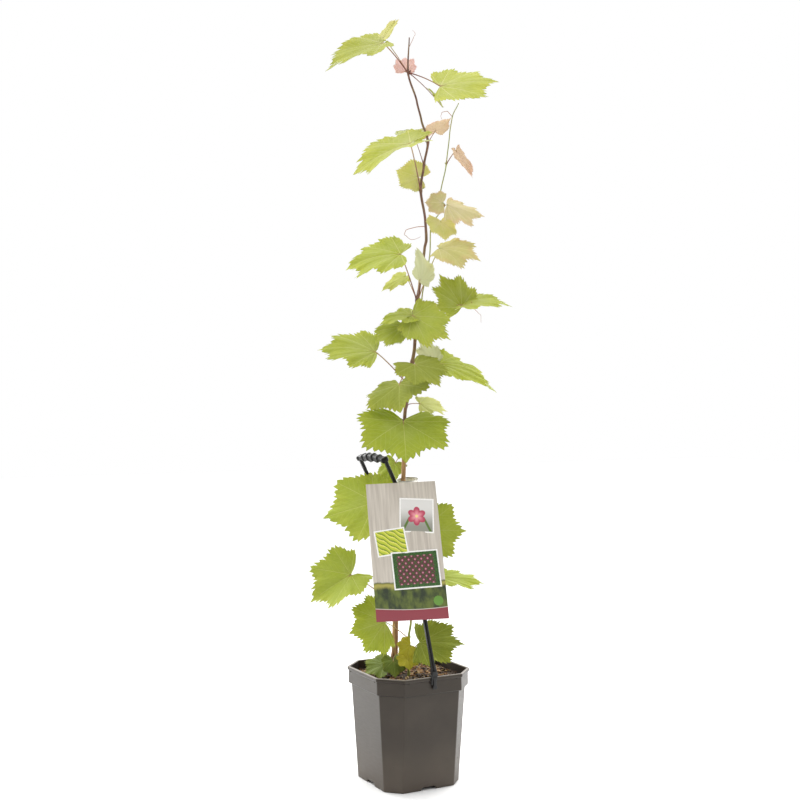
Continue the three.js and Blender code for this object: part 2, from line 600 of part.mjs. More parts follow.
// The grip's outline in the hoop's plane: an arched back, and finger waves underneath.
function handleGrip() {
  const { gripHalf, gripHeight, gripArch, fingers, fingerDepth, gripDepth } = HANDLE;
  const end = gripHalf + HANDLE.legWidth / 2;
  const outline = new THREE.Shape();
  const steps = 24;
  for (let step = 0; step <= steps; step += 1) {
    const out = -end + (2 * end * step) / steps;
    const wave = fingerDepth * Math.abs(Math.sin((Math.PI * fingers * (out + gripHalf)) / (2 * gripHalf)));
    const low = -gripHeight / 2 + (Math.abs(out) < gripHalf ? wave : 0);
    if (step === 0) outline.moveTo(out, low);
    else outline.lineTo(out, low);
  }
  for (let step = 0; step <= steps / 2; step += 1) {
    const out = end - (4 * end * step) / steps;
    outline.lineTo(out, gripHeight / 2 - 4 + gripArch * Math.cos((Math.PI * out) / (2 * end)));
  }
  const bar = new THREE.ExtrudeGeometry(outline, { depth: gripDepth, bevelEnabled: false });
  bar.translate(0, 0, -gripDepth / 2);
  const { out, up, square } = hoopAxes();
  bar.applyMatrix4(new THREE.Matrix4().makeBasis(out, up, square));
  bar.translate(HANDLE.lean, 0, HANDLE.gripZ);
  return bar;
}

// A hook over the rim: inner plate, bridge and a longer outer plate.
function handleClip(sign) {
  const { clipWidth, clipPlate, clipOuter, clipInner, clipTop, clipChamfer, clipSplay } = HANDLE;
  const outside = POT.rimHalf + GAP;
  const inside = POT.rimHalf - POT.lipProud - POT.wall - GAP;
  const top = POT.height + GAP;
  const outerFace = outside + clipPlate;
  const innerFace = inside - clipPlate;
  const crown = top + clipTop;
  const hook = new THREE.Shape([
    [outside, POT.height - clipOuter], [outerFace, POT.height - clipOuter],
    [outerFace, crown - clipChamfer], [outerFace - clipChamfer, crown],
    [innerFace + clipChamfer, crown], [innerFace, crown - clipChamfer],
    [innerFace - clipSplay, POT.height - clipInner], [inside - clipSplay, POT.height - clipInner],
    [inside, top], [outside, top],
  ].map(([out, z]) => new THREE.Vector2(out, z)));
  const clip = new THREE.ExtrudeGeometry(hook, { depth: clipWidth, bevelEnabled: false });
  clip.translate(0, 0, -clipWidth / 2);
  clip.rotateX(Math.PI / 2);
  clip.rotateZ(sign * Math.PI / 2);
  return clip;
}

// ---- label -------------------------------------------------------------------------------------

function labelCard() {
  const { topWidth, footWidth, height } = LABEL;
  const [side, edge] = [toRadians(LABEL.tilt), toRadians(LABEL.edgeTilt)];
  const corners = [[-footWidth, -height], [footWidth, -height], [topWidth, height], [-topWidth, height]];
  const outline = new THREE.Shape(corners.map(([across, up]) => new THREE.Vector2(
    (across * Math.cos(edge) - up * Math.sin(side)) / 2,
    (across * Math.sin(edge) + up * Math.cos(side)) / 2,
  )));
  const card = new THREE.ExtrudeGeometry(outline, { depth: LABEL.thick, bevelEnabled: false });
  card.rotateX(Math.PI / 2);
  card.translate(LABEL.x, LABEL.y + LABEL.thick / 2, LABEL.z);
  return card;
}

function labelStrap() {
  const ringShape = new THREE.Shape();
  ringShape.absellipse(0, 0, STRAP.halfWidth, STRAP.halfDepth, 0, 2 * Math.PI);
  const hole = new THREE.Path();
  hole.absellipse(0, 0, STRAP.halfWidth - STRAP.thick, STRAP.halfDepth - STRAP.thick, 0, 2 * Math.PI);
  ringShape.holes.push(hole);
  const strap = new THREE.ExtrudeGeometry(ringShape, {
    depth: STRAP.tall, bevelEnabled: false, curveSegments: 14,
  });
  strap.translate(STRAP.x, STRAP.y, STRAP.z - STRAP.tall / 2);
  return strap;
}

// ---- the whole plant ---------------------------------------------------------------------------

const grapevine = new THREE.Group();
grapevine.add(mesh('pot', 'pot', pot()), mesh('soil', 'soil', soil()));

const vine = new THREE.Group();
vine.rotation.z = toRadians(VINE_TURN);
vine.add(mesh('trunk', 'bark', limb(LIMBS.trunk)));
for (const name of ['cane_lower', 'cane_upper']) vine.add(mesh(name, 'cane', limb(LIMBS[name])));
for (const name of ['side_shoot', 'basal_shoot']) vine.add(mesh(name, 'shoot', limb(LIMBS[name])));
FOLIAGE.forEach((row, index) => vine.add(mass(row, index)));
vine.add(mesh('label_card', 'card', labelCard()), mesh('label_strap', 'card', labelStrap()));
grapevine.add(vine);

grapevine.add(mesh('handle_grip', 'handle', handleGrip()));
for (const [side, sign] of [['front', -1], ['back', 1]]) {
  grapevine.add(mesh(`handle_leg_${side}`, 'handle', handleLeg(sign)));
  grapevine.add(mesh(`handle_clip_${side}`, 'handle', handleClip(sign)));
}

export default grapevine;
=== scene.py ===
"""A young grapevine in an octagonal nursery pot, with a snap-on carry handle and a hanging label.

Lengths are in millimetres, Z up, with the origin under the middle of the pot, until put() hands a
piece to Blender in metres. Stems, leaves and label belong to the vine, which is turned inside the
pot. Leaves grow by the same seeded rule as the plain solids that they replace, with finer teeth,
veins and stalks.
"""

import math
from collections import namedtuple
from types import SimpleNamespace as Sizes

import bpy
from mathutils import Matrix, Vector
import numpy as np


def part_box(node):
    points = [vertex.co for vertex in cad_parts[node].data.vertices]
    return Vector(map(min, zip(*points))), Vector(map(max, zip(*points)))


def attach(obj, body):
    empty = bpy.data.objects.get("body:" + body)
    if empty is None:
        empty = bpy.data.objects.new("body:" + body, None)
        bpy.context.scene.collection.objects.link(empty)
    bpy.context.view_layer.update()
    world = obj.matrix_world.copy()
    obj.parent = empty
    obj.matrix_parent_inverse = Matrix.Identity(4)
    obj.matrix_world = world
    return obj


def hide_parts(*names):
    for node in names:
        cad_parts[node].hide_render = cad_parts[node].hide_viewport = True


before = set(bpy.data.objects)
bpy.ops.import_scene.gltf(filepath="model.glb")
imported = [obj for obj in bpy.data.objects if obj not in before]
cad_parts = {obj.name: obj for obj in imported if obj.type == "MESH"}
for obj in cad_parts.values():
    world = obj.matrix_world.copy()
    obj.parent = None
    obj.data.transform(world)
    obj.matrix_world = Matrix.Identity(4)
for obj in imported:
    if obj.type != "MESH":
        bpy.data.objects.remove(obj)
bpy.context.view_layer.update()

# ---- driving dimensions --------------------------------------------------------------------------

MM = 0.001
VINE_TURN = -28                     # degrees, the vine about the pot's axis

# Metres, except for the heading in degrees and the lens in millimetres.
CAMERA = Sizes(azimuth=28.15, distance=2.222, sideways=-0.0148, height=0.688, lens=54.95)

POT_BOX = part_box("pot")
RIM_HALF = POT_BOX[1].x / MM        # half the rim's width across flats
POT_HEIGHT = POT_BOX[1].z / MM
WALL, FLOOR, FOOT_HEIGHT, FOOT_WIDTH = 2.2, 3, 4, 9
BASE_HALF, BASE_CUT = 76, 24.5      # half width across flats, and how much of each corner is cut off
WAIST_HALF, WAIST_CUT, WAIST_Z = 87.8, 32.5, 172
COLLAR_HALF, COLLAR_CUT = 92.7, 35
RIM_CUT, LIP_HEIGHT, LIP_PROUD = 37, 7, 2
PAD_RADIUS = 18
NOTCH_RISE = 5.6
NOTCH_HALF = 16.5                   # half the length of the arch in each flat side of the foot
LUG_PLACE = 0.82                    # a lug's place on a flat side, as a share of half its length
GATE_Z = 45                         # height of the moulding gates' marks

SOIL_TOP, SOIL_DOME, SOIL_GAP = 190, 3, 0.4
COMPOST_LUMPS = ((3.2, 21, 1), (2.2, 8, 2), (1.3, 3.3, 3))     # height, length and seed of each size
CHIPS_OF_A_KIND = 206

HANDLE = Sizes(foot_z=207.6, knee_z=505, grip_z=584, knee_lean=-35, lean=-74, grip_half=50,
               leg_width=7.2, leg_thick=4.5, grip_depth=14, grip_height=13, grip_arch=7,
               fingers=4, finger_depth=3.5, pockets=5, pocket_depth=0.24,
               clip_plate=2.6, clip_outer=21, clip_inner=15, clip_gap=0.3)

LABEL = Sizes(top_width=121, foot_width=127, height=241, thick=0.8, tilt=5.2, edge_tilt=3,
              x=-3.5, y=-92, z=423.7, bow=2.4)
# Pictures on the card, from the lowest layer up: middle, size and tilt.
PICTURES = dict(
    rosette=((24, 62), (62, 60), -5),
    stripes=((-26, 18), (56, 46), 6),
    lattice=((14, -32), (84, 66), 1.5),
)
PICTURE_MARGIN, PICTURE_THICK, LAYER = 5, 0.2, 0.3
STRAP = Sizes(z=541, x=-1, y=-35, half_width=19, half_depth=56, tall=11, thick=1, rise=1.2)

# Stems: rows of height, x, y and diameter, joined smoothly from the foot up.
LIMBS = dict(
    trunk=[
        (190.3, -26, 5, 17), (204, -25, 5, 12), (323, -22, 6, 10),
        (469, -14, 4, 9), (560, -8, 2, 8), (639, -7, 0, 7),
    ],
    cane_lower=[
        (639.3, -7, 0, 7), (661, -6, 0, 6.6), (724, 2, 2, 6.4),
        (788, 12, 3, 6.2), (848, 14, 2, 6.2), (865, 16, 0, 6),
    ],
    cane_upper=[
        (865.3, 16, 0, 6), (898, 21, -2, 5.4), (964, 30, -3, 5), (979, 33, -3, 5.4),
        (1016, 31, 0, 4.6), (1071, 23, 3, 4.8), (1117, 29, 5, 4.2), (1159, 36, 5, 4.4),
        (1198, 24, 2, 3.8), (1230, 16, 0, 3.6), (1283, 0, -2, 3.6), (1347, 2, -3, 2),
    ],
    side_shoot=[
        (798, 18, 10, 2.6), (871, 25, 12, 2.4), (957, 40, 14, 2.2), (999, 41, 14, 2.2),
        (1012, 44, 12, 2.4), (1028, 56, 10, 2), (1044, 66, 8, 2.4), (1055, 58, 8, 2),
        (1121, 70, 8, 2), (1174, 76, 10, 1.8), (1206, 81, 12, 1.8), (1233, 93, 12, 1.4),
    ],
    basal_shoot=[
        (191, 1, -14, 6), (202, 1, -14, 5), (234, 2, -14, 4.6), (259, 1, -14, 4.4),
        (290, 5, -14, 4), (380, 0, -10, 3.6), (470, -4, -8, 3),
    ],
)
LIMB_SLOPE = 0.6                    # a row's slope, as a share of the line through the rows beside it
STEM_STEP = 1.5
NODE_REACH = 4.5                    # how far above and below a node its swelling reaches

# Tendrils: the centres of the line, the coil's radius and turns, and the thickness.
TENDRILS = [
    ([(31, 0, 1004), (16, -8, 1002), (-4, -14, 996), (-8, -12, 986), (6, -10, 980), (20, -12, 984)],
     2.5, 2, 0.7),
    ([(114, -14, 866), (120, -16, 852), (130, -16, 842), (133, -15, 828)], 1.2, 1.5, 0.55),
    ([(81, 12, 1206), (72, 10, 1216), (62, 9, 1214), (58, 9, 1206), (64, 9, 1200)], 1.8, 1.5, 0.6),
    ([(2, -3, 1330), (8, -4, 1342), (12, -4, 1352), (9, -4, 1360)], 1.2, 1.5, 0.5),
]

# Leaf outline: reach of the blade, as a share of its length, against the angle from the midrib.
OUTLINE = np.array([
    (0, 1), (9, 0.83), (27, 0.66), (42, 0.8), (52, 0.92), (62, 0.8), (80, 0.6),
    (93, 0.68), (103, 0.76), (114, 0.66), (130, 0.52), (148, 0.6), (170, 0.12),
])
LOBE_TIPS = OUTLINE[[0, 4, 8, 11, 12]]      # the lobes' tips, and the outline's end
OUTLINE_END = OUTLINE[-1, 0]
VEIN_ANGLES = LOBE_TIPS[:-1, 0]
LOBE_DEPTH = 0.6                    # how much of the outline's lobes is cut where lobing is 1
BLADE_SHARES = np.array([0, 0.07, 0.17, 0.28, 0.39, 0.5, 0.6, 0.69, 0.77, 0.84, 0.9, 0.95, 0.985, 1])
WAVE = 0.035                        # height of the margin's waves, as a share of the length
BLADE_HALF = 0.3                    # half a blade's thickness
TEETH = 22                          # along each side of a blade
TOOTH_STEPS = np.array([0, 0.15, 0.3, 0.5, 0.75])
TOOTH_TIP = 0.3                     # where in its step a tooth's tip stands
TOOTH_DEPTH, TOOTH_MIDDLE = 0.1, 0.55
SMALL_TOOTH, LARGE_TOOTH = 0.65, 1.2
RIPPLE = 0.016                      # height of the fine ripples near the margin
BULGE = 0.02                        # rise of the blade between its main veins
VEIN_SINK = 0.45                    # how far a main vein lies below the upper face
PETIOLE_BOW = 0.08
PETIOLE_END = 0.14
STEEP_PETIOLE = 70                  # degrees
CROWN_FROM, MIDDLE_FROM = 1000, 640     # heights at which the levels of the plant begin

# One leaf: tint; its petiole's length, heading and rise; its blade's heading, pitch and roll;
# length and width factor; bend along the midrib, fold of the left and right halves, and twist;
# the spread of its outline, and how deep its lobes are cut. Angles in degrees.
Leaf = namedtuple("Leaf", "tint petiole blade size curl spread lobing")

# Masses of foliage: name, limb, height of the node on it, and the leaves that spring from there.
FOLIAGE = [
    ("leaves_tip_left", "cane_upper", 1283, [
        Leaf("mid", (69, -168, 48), (184, -18, 30), (114, 0.9), (14, 8, 4, 0), 112, 0.6),
        Leaf("lime", (77, -175, 54), (0, 52, -48), (44, 0.46), (0, 10, 10, 0), 110, 0.6),
    ]),
    ("leaf_tip_pink", "cane_upper", 1283, [
        Leaf("pink", (18, 109, 18), (90, 75, 0), (32, 1), (10, 20, 20, 0), 120, 1),
    ]),
    ("leaves_tip_right", "cane_upper", 1283, [
        Leaf("mid", (64, -6, -24), (-6, 12, -42), (104, 1.12), (24, -8, 4, 0), 118, 1),
        Leaf("mid", (94, -18, -46), (180, 62, 14), (46, 0.7), (20, 0, 0, 0), 90, 1),
    ]),
    ("leaf_young_peach", "cane_upper", 1158, [
        Leaf("young", (24, 12, 56), (60, 60, 10), (43, 1), (30, 0, 0, 0), 140, 1),
    ]),
    ("leaf_upper_left", "cane_upper", 1070, [
        Leaf("mid", (97, -108, 49), (172, -14, 33), (118, 0.9), (28, 16, -4, -18), 145, 1),
    ]),
    ("leaf_upper_back", "cane_upper", 1070, [
        Leaf("lime", (29, 112, 66), (178, 18, 70), (42, 1), (10, 0, 0, 0), 160, 0.6),
    ]),
    ("leaf_side_pink", "side_shoot", 1119, [
        Leaf("young", (30, -19, 53), (0, -57, -50), (58, 0.34), (0, 10, 10, 0), 115, 0.5),
    ]),
    ("leaf_side_small", "side_shoot", 1043, [
        Leaf("olive", (16, -102, 8), (172, 5, 74), (33, 1), (10, 0, 0, 0), 120, 0.8),
    ]),
    ("leaf_side_right", "side_shoot", 1043, [
        Leaf("olive", (8, -50, 2), (0, -12, -25), (72, 1), (15, 0, -26, 0), 100, 1.2),
    ]),
    ("leaf_side_low", "side_shoot", 1010, [
        Leaf("lime", (18, -23, 16), (-68, -56, 0), (44, 0.9), (10, 0, 0, 0), 140, 0.8),
    ]),
    ("leaves_middle_left", "cane_upper", 870, [
        Leaf("mid", (88, -155, 68), (174, 2, 34), (108, 0.95), (38, 6, -4, -12), 118, 1),
        Leaf("lime", (54, 136, 58), (180, -28, 25), (52, 1), (10, 0, 0, 0), 110, 1),
    ]),
    ("leaves_middle_right", "cane_upper", 870, [
        Leaf("pale", (54, -87, 34), (0, 52, 42), (74, 0.7), (-95, 0, 0, 0), 96, 0.4),
        Leaf("olive", (101, -16, 66), (-15, -2, -24), (78, 0.9), (34, 0, -8, 20), 120, 1),
    ]),
    ("leaves_middle_far_right", "cane_lower", 846, [
        Leaf("mid", (84, -4, 7), (180, 62, 60), (74, 0.92), (20, 0, 0, 0), 112, 1.2),
        Leaf("mid", (87, -7, 9), (-8, 16, -16), (90, 1), (38, 4, 4, 0), 120, 1),
    ]),
    ("leaves_middle_front", "cane_lower", 846, [
        Leaf("fresh", (31, -101, -12), (-20, -30, -62), (80, 0.8), (15, 0, 0, 0), 118, 1),
        Leaf("mid", (13, -119, -24), (190, 8, 20), (64, 1), (50, 0, 0, 0), 115, 1),
    ]),
    ("leaf_middle_low_left", "cane_lower", 812, [
        Leaf("mid", (24, 171, 23), (195, -22, 35), (62, 1), (20, 0, 0, 0), 95, 1),
    ]),
    ("leaf_lower_left", "cane_lower", 715, [
        Leaf("mid", (86, -165, 44), (184, 16, 30), (108, 0.9), (32, -4, 4, 0), 100, 1.1),
    ]),
    ("leaves_lower_right", "cane_lower", 693, [
        Leaf("pale", (79, -3, 50), (160, 62, -50), (56, 1), (20, 0, 0, 0), 100, 1),
        Leaf("mid", (85, -9, 46), (-8, -8, -33), (120, 0.56), (44, 0, 0, -30), 122, 1),
    ]),
    ("leaf_lower_front", "cane_lower", 757, [
        Leaf("deep", (63, -119, -40), (-94, -32, -22), (76, 1.14), (18, 0, 0, 0), 154, 1),
    ]),
    ("leaf_lower_cover", "cane_lower", 740, [
        Leaf("deep", (66, -84, 10), (-36, -30, -20), (66, 1.05), (15, 0, 0, 0), 140, 1),
    ]),
    ("leaf_big_front", "trunk", 634, [
        Leaf("mid", (58, -92, 16), (-86, -40, 0), (98, 1.12), (14, -4, 4, 8), 152, 1),
    ]),
    ("leaf_big_behind", "cane_lower", 679, [
        Leaf("pale", (39, 49, 3), (10, -4, -25), (56, 1), (20, 0, 0, 0), 110, 1),
    ]),
    ("leaf_handle_small", "trunk", 593, [
        Leaf("mid", (41, 116, -30), (200, -50, 30), (46, 1), (20, 0, 0, 0), 120, 1),
    ]),
    ("leaf_label_left", "trunk", 506, [
        Leaf("fresh", (62, -139, -1), (190, -14, 46), (95, 1.02), (10, 0, 0, 0), 165, 1),
    ]),
    ("leaf_label_right", "trunk", 433, [
        Leaf("fresh", (45, 2, 23), (0, 0, -76), (80, 1), (10, 0, 0, 0), 130, 1),
    ]),
    ("leaf_low_left", "trunk", 313, [
        Leaf("fresh", (104, -162, 35), (191, -28, 50), (86, 1), (20, 28, 8, 0), 144, 1.1),
    ]),
    ("leaf_low_right", "trunk", 333, [
        Leaf("mid", (85, 3, 20), (-8, 4, -14), (80, 0.8), (25, 0, 0, 0), 100, 1),
    ]),
    ("leaf_foot_left", "basal_shoot", 257, [
        Leaf("mid", (62, -146, 34), (190, -14, 64), (66, 1.24), (10, 0, 0, 0), 112, 1),
    ]),
    ("leaf_foot_right", "basal_shoot", 231, [
        Leaf("deep", (28, -20, 45), (-8, 4, -40), (80, 0.95), (15, 0, 0, 0), 118, 1),
    ]),
    ("leaf_foot_young", "basal_shoot", 238, [
        Leaf("gold", (16, -80, 36), (200, -30, 60), (28, 1), (10, 0, 0, 0), 130, 1),
    ]),
    ("leaf_foot_yellow", "basal_shoot", 218, [
        Leaf("gold", (17, -102, 30), (-80, -40, 0), (28, 1), (10, 0, 0, 0), 140, 1),
    ]),
    ("leaf_foot_dark", "trunk", 222, [
        Leaf("dark", (28, -95, -7), (-80, -42, 0), (34, 0.85), (20, 0, 0, 0), 165, 1),
    ]),
    ("leaf_foot_rim", "trunk", 211, [
        Leaf("dark", (25, -136, -2), (205, -14, 20), (42, 1), (16, 0, 0, 0), 165, 1),
    ]),
    ("leaf_back_upper", "cane_upper", 1117, [
        Leaf("deep", (76, 127, 62), (104, 2, 6), (40, 1), (20, 5, 5, 0), 150, 1),
    ]),
    ("leaf_back_middle", "cane_lower", 848, [
        Leaf("deep", (60, 70, 0), (78, -12, -6), (60, 0.85), (24, 8, 4, 0), 150, 1),
    ]),
    ("leaf_back_lower", "cane_lower", 688, [
        Leaf("deep", (50, 104, 23), (100, -6, 4), (66, 0.9), (26, 6, 6, 0), 155, 1),
    ]),
    ("leaf_back_big", "trunk", 618, [
        Leaf("deep", (62, 82, 22), (85, -20, -5), (92, 1), (28, 6, 4, 0), 160, 1),
    ]),
    ("leaf_back_label_high", "trunk", 500, [
        Leaf("deep", (60, 84, 15), (80, -20, 5), (78, 0.9), (22, 5, 8, 0), 155, 1),
    ]),
    ("leaf_back_label_low", "trunk", 400, [
        Leaf("deep", (56, 70, 15), (82, -25, -4), (84, 1), (24, 6, 5, 0), 160, 1),
    ]),
    ("leaf_back_foot", "trunk", 325, [
        Leaf("deep", (50, 75, 12), (64, -18, 6), (56, 0.9), (20, 6, 6, 0), 155, 1),
    ]),
]

# ---- numbers and arrays --------------------------------------------------------------------------


def direction(heading, rise):
    """Unit vector from a heading about Z and a rise above level, in degrees."""
    h, r = math.radians(heading), math.radians(rise)
    return np.array([math.cos(r) * math.cos(h), math.cos(r) * math.sin(h), math.sin(r)])


def unit(vectors):
    """Vectors divided by their lengths."""
    return vectors / np.linalg.norm(vectors, axis=-1, keepdims=True)


def ease(t):
    """0 below 0, 1 above 1, and 3t^2 - 2t^3 between."""
    t = np.clip(t, 0, 1)
    return t * t * (3 - 2 * t)


def bell(values, width):
    """1 at 0 and less on both sides: e to the power of -(v / width)^2."""
    return np.exp(-((values / width) ** 2))


def swing(a, b, angle):
    """Turns two coordinates in their plane: a cos t - b sin t, and a sin t + b cos t."""
    return a * np.cos(angle) - b * np.sin(angle), a * np.sin(angle) + b * np.cos(angle)


def about_z(points, degrees):
    """Rows of points turned about the Z axis."""
    x, y = swing(points[:, 0], points[:, 1], math.radians(degrees))
    return np.column_stack([x, y, points[:, 2]])


def around(count):
    """Angles that share out a full turn, from 0."""
    return np.linspace(0, 2 * math.pi, count, endpoint=False)


def squared_off(turn, power):
    """Cosine and sine whose sizes are raised to a power: below 1, a circle bulges to its corners."""
    return [np.sign(part) * np.abs(part) ** power for part in (np.cos(turn), np.sin(turn))]


def bezier(start, control, end, steps):
    """Points of a quadratic curve: (1-t)^2 start + 2t(1-t) control + t^2 end."""
    t = np.linspace(0, 1, steps)[:, None]
    return (1 - t) ** 2 * start + 2 * t * (1 - t) * control + t * t * end


def resampled(rows, count):
    """Rows at evenly spaced places along the straight lines from each row to the next."""
    rows = np.array(rows, float)
    place = np.linspace(0, len(rows) - 1, count)
    return np.stack([np.interp(place, range(len(rows)), column) for column in rows.T], -1)


def seeded(seed):
    """A stream of numbers from 0 to 1: each state is the last one times 16807, modulo 2^31 - 1."""
    state = seed * 7919 + 17

    def draw():
        nonlocal state
        state = (state * 16807) % 2147483647
        return state / 2147483647

    return draw


def lumps(x, y, size, seed):
    """Smooth bumps from 0 to 1: random heights on a square lattice, eased between its points."""
    count = 64
    heights = np.random.default_rng(seed).random((count, count))
    column, row = np.floor(x / size).astype(int), np.floor(y / size).astype(int)
    across, up = ease(x / size - column), ease(y / size - row)

    def at(i, j):
        return heights[(row + j) % count, (column + i) % count]

    low = at(0, 0) * (1 - across) + at(1, 0) * across
    high = at(0, 1) * (1 - across) + at(1, 1) * across
    return low * (1 - up) + high * up


# ---- bodies --------------------------------------------------------------------------------------

# Points (n, 3), triangles (m, 3), and named values for each point; "u" and "v" make a UV map.
Body = namedtuple("Body", "points faces fields")


def join(bodies):
    """Stacks the points of several bodies and moves each one's faces up by the points before it."""
    starts = np.cumsum([0, *[len(body.points) for body in bodies[:-1]]])
    points = np.concatenate([body.points for body in bodies])
    faces = np.concatenate([body.faces + start for body, start in zip(bodies, starts)])
    fields = {name: np.concatenate([body.fields[name] for body in bodies]) for name in bodies[0].fields}
    return Body(points, faces, fields)


def grid_faces(rows, columns, closed, looped=False):
    """Two triangles for each cell of a grid. The last column meets the first when it is closed, and
    the last row meets the first when it is looped."""
    cells = np.arange(rows - (not looped)), np.arange(columns - (not closed))
    row, column = np.meshgrid(*cells, indexing="ij")
    after, beyond = (column + 1) % columns, (row + 1) % rows
    a, b = row * columns + column, row * columns + after
    c, d = beyond * columns + after, beyond * columns + column
    return np.concatenate([np.stack([a, b, c], -1).reshape(-1, 3), np.stack([a, c, d], -1).reshape(-1, 3)])


def sleeve(rings, **fields):
    """A closed body through rings (rows, columns, 3) that turn anticlockwise as seen from the last
    one; each end closes on a pole at the mean of its ring."""
    rows, columns = rings.shape[:2]
    points = np.concatenate([rings.reshape(-1, 3), rings[:1].mean(1), rings[-1:].mean(1)])
    side = np.arange(columns)
    after = (side + 1) % columns
    start = np.full(columns, rows * columns)
    last = (rows - 1) * columns
    caps = [np.stack([start, after, side], -1), np.stack([last + side, last + after, start + 1], -1)]
    faces = np.concatenate([grid_faces(rows, columns, True), *caps])
    spread = {}
    for name, values in fields.items():
        values = np.broadcast_to(values, (rows, columns))
        spread[name] = np.concatenate([values.ravel(), values[:1].mean(1), values[-1:].mean(1)])
    return Body(points, faces, spread)


def tube(path, radius, sides, reference=(0.31, 0.23, 0.11), **fields):
    """Circles about a path: ring i is path[i] + radius[i] (cos a, sin a) in the plane square to the
    path, whose first axis is the reference crossed with the path's direction."""
    along = unit(np.gradient(path, axis=0))
    first = unit(np.cross(np.array(reference, float), along))
    second = np.cross(along, first)
    turn = around(sides)[:, None]
    reach = np.broadcast_to(np.asarray(radius, float).reshape(len(path), -1), (len(path), sides))
    circle = np.cos(turn) * first[:, None] + np.sin(turn) * second[:, None]
    return sleeve(path[:, None] + reach[..., None] * circle, **fields)


def ribbon(path, widths, thickness, first):
    """A flat band along a path: each ring is a rounded oblong, its width along the first axis and
    its thickness square to that and to the path."""
    path = np.asarray(path, float)
    first = np.broadcast_to(np.asarray(first, float), path.shape)
    second = unit(np.cross(unit(np.gradient(path, axis=0)), first))
    wide, thick = squared_off(around(24), 0.3)
    widths = np.broadcast_to(np.asarray(widths, float), len(path))
    across = widths[:, None, None] / 2 * wide[:, None] * first[:, None]
    through = thickness / 2 * thick[:, None] * second[:, None]
    return sleeve(path[:, None] + across + through)


def put(name, body, material, nodes=(), turned=False, crease=None):
    """Makes a body a piece that rides with the plant: points in metres, turned with the vine if it
    belongs to it, smooth except at edges sharper than the crease, in degrees."""
    points = (about_z(body.points, VINE_TURN) if turned else body.points) * MM
    corners = body.faces.astype(np.int32).ravel()
    mesh = bpy.data.meshes.new(name)
    mesh.vertices.add(len(points))
    mesh.vertices.foreach_set("co", points.astype(np.float32).ravel())
    mesh.loops.add(len(corners))
    mesh.loops.foreach_set("vertex_index", corners)
    mesh.polygons.add(len(body.faces))
    mesh.polygons.foreach_set("loop_start", np.arange(0, len(corners), 3, dtype=np.int32))
    mesh.update(calc_edges=True)
    mesh.polygons.foreach_set("use_smooth", np.ones(len(body.faces), bool))
    if crease is not None:
        mesh.set_sharp_from_angle(angle=math.radians(crease))
    fields = dict(body.fields)
    if "u" in fields:
        places = np.stack([fields.pop("u"), fields.pop("v")], -1)[corners]
        mesh.uv_layers.new(name="UVMap").data.foreach_set("uv", places.astype(np.float32).ravel())
    for field, values in fields.items():
        mesh.attributes.new(field, "FLOAT", "POINT").data.foreach_set("value", values.astype(np.float32))
    mesh.materials.append(material)
    piece = bpy.data.objects.new(name, mesh)
    bpy.context.scene.collection.objects.link(piece)
    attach(piece, "root")
    if nodes:
        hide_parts(*nodes)
    return piece


# ---- stems ---------------------------------------------------------------------------------------


def limb_at(rows, z):
    """Centres and radii of a limb at heights z: cubic steps between rows, each row with its slope,
    and radii in a straight line between rows."""
    rows, z = np.array(rows, float), np.atleast_1d(np.asarray(z, float))
    last = len(rows) - 1
    high = np.clip(np.searchsorted(rows[:, 0], z), 1, last)
    low = high - 1
    span = rows[high, 0] - rows[low, 0]
    t = np.clip((z - rows[low, 0]) / span, 0, 1)
    before, after = np.maximum(np.arange(last + 1) - 1, 0), np.minimum(np.arange(last + 1) + 1, last)
    slope = LIMB_SLOPE * (rows[after, 1:3] - rows[before, 1:3]) / (rows[after, :1] - rows[before, :1])
    radius = (rows[low, 3] + t * (rows[high, 3] - rows[low, 3])) / 2
    t, span = t[:, None], span[:, None]
    centre = rows[low, 1:3] + ease(t) * (rows[high, 1:3] - rows[low, 1:3])
    centre += t * (1 - t) ** 2 * slope[low] * span - t * t * (1 - t) * slope[high] * span
    return np.column_stack([centre, z]), radius


def swelling(z, limbs):
    """How far a stem swells at the nodes of its leaves: a bell about each one's height, up to 1."""
    heights = np.array([height for _, limb, height, _ in FOLIAGE if limb in limbs], float)
    return bell(z[:, None] - heights, NODE_REACH).max(1)


def stem(limbs, sides, swell, ridge, extend=(0, 0)):
    """Limbs that follow on each other as rings of radius r (1 + swell n(z)) (1 + ridge b(a, z)),
    where n is the bell at each node and b is the bark: sines that wander round the stem as they
    climb, and lumps drawn out along it."""
    rows = [row for limb in limbs[:-1] for row in LIMBS[limb][:-1]] + LIMBS[limbs[-1]]
    z = np.arange(rows[0][0] - extend[0], rows[-1][0] + extend[1], STEM_STEP)
    path, radius = limb_at(rows, z)
    turn, climb = around(sides)[None, :], z[:, None]
    bark = 0.5 * np.sin(5 * turn + 1.3 * np.sin(climb / 41) + climb / 160)
    bark += 0.5 * np.sin(9 * turn - 1.7 * np.sin(climb / 29 + 1) + climb / 90)
    bark += 0.8 * (lumps(turn * 9 / math.pi, climb / 26 + 8, 1, 5) - 0.5)
    bark += 0.5 * (lumps(turn * 16 / math.pi, climb / 9, 1, 6) - 0.5)
    shape = radius[:, None] * (1 + swell * swelling(z, limbs))[:, None] * (1 + ridge * bark)
    return tube(path, shape, sides, reference=(0, 1, 0.001), climb=climb)


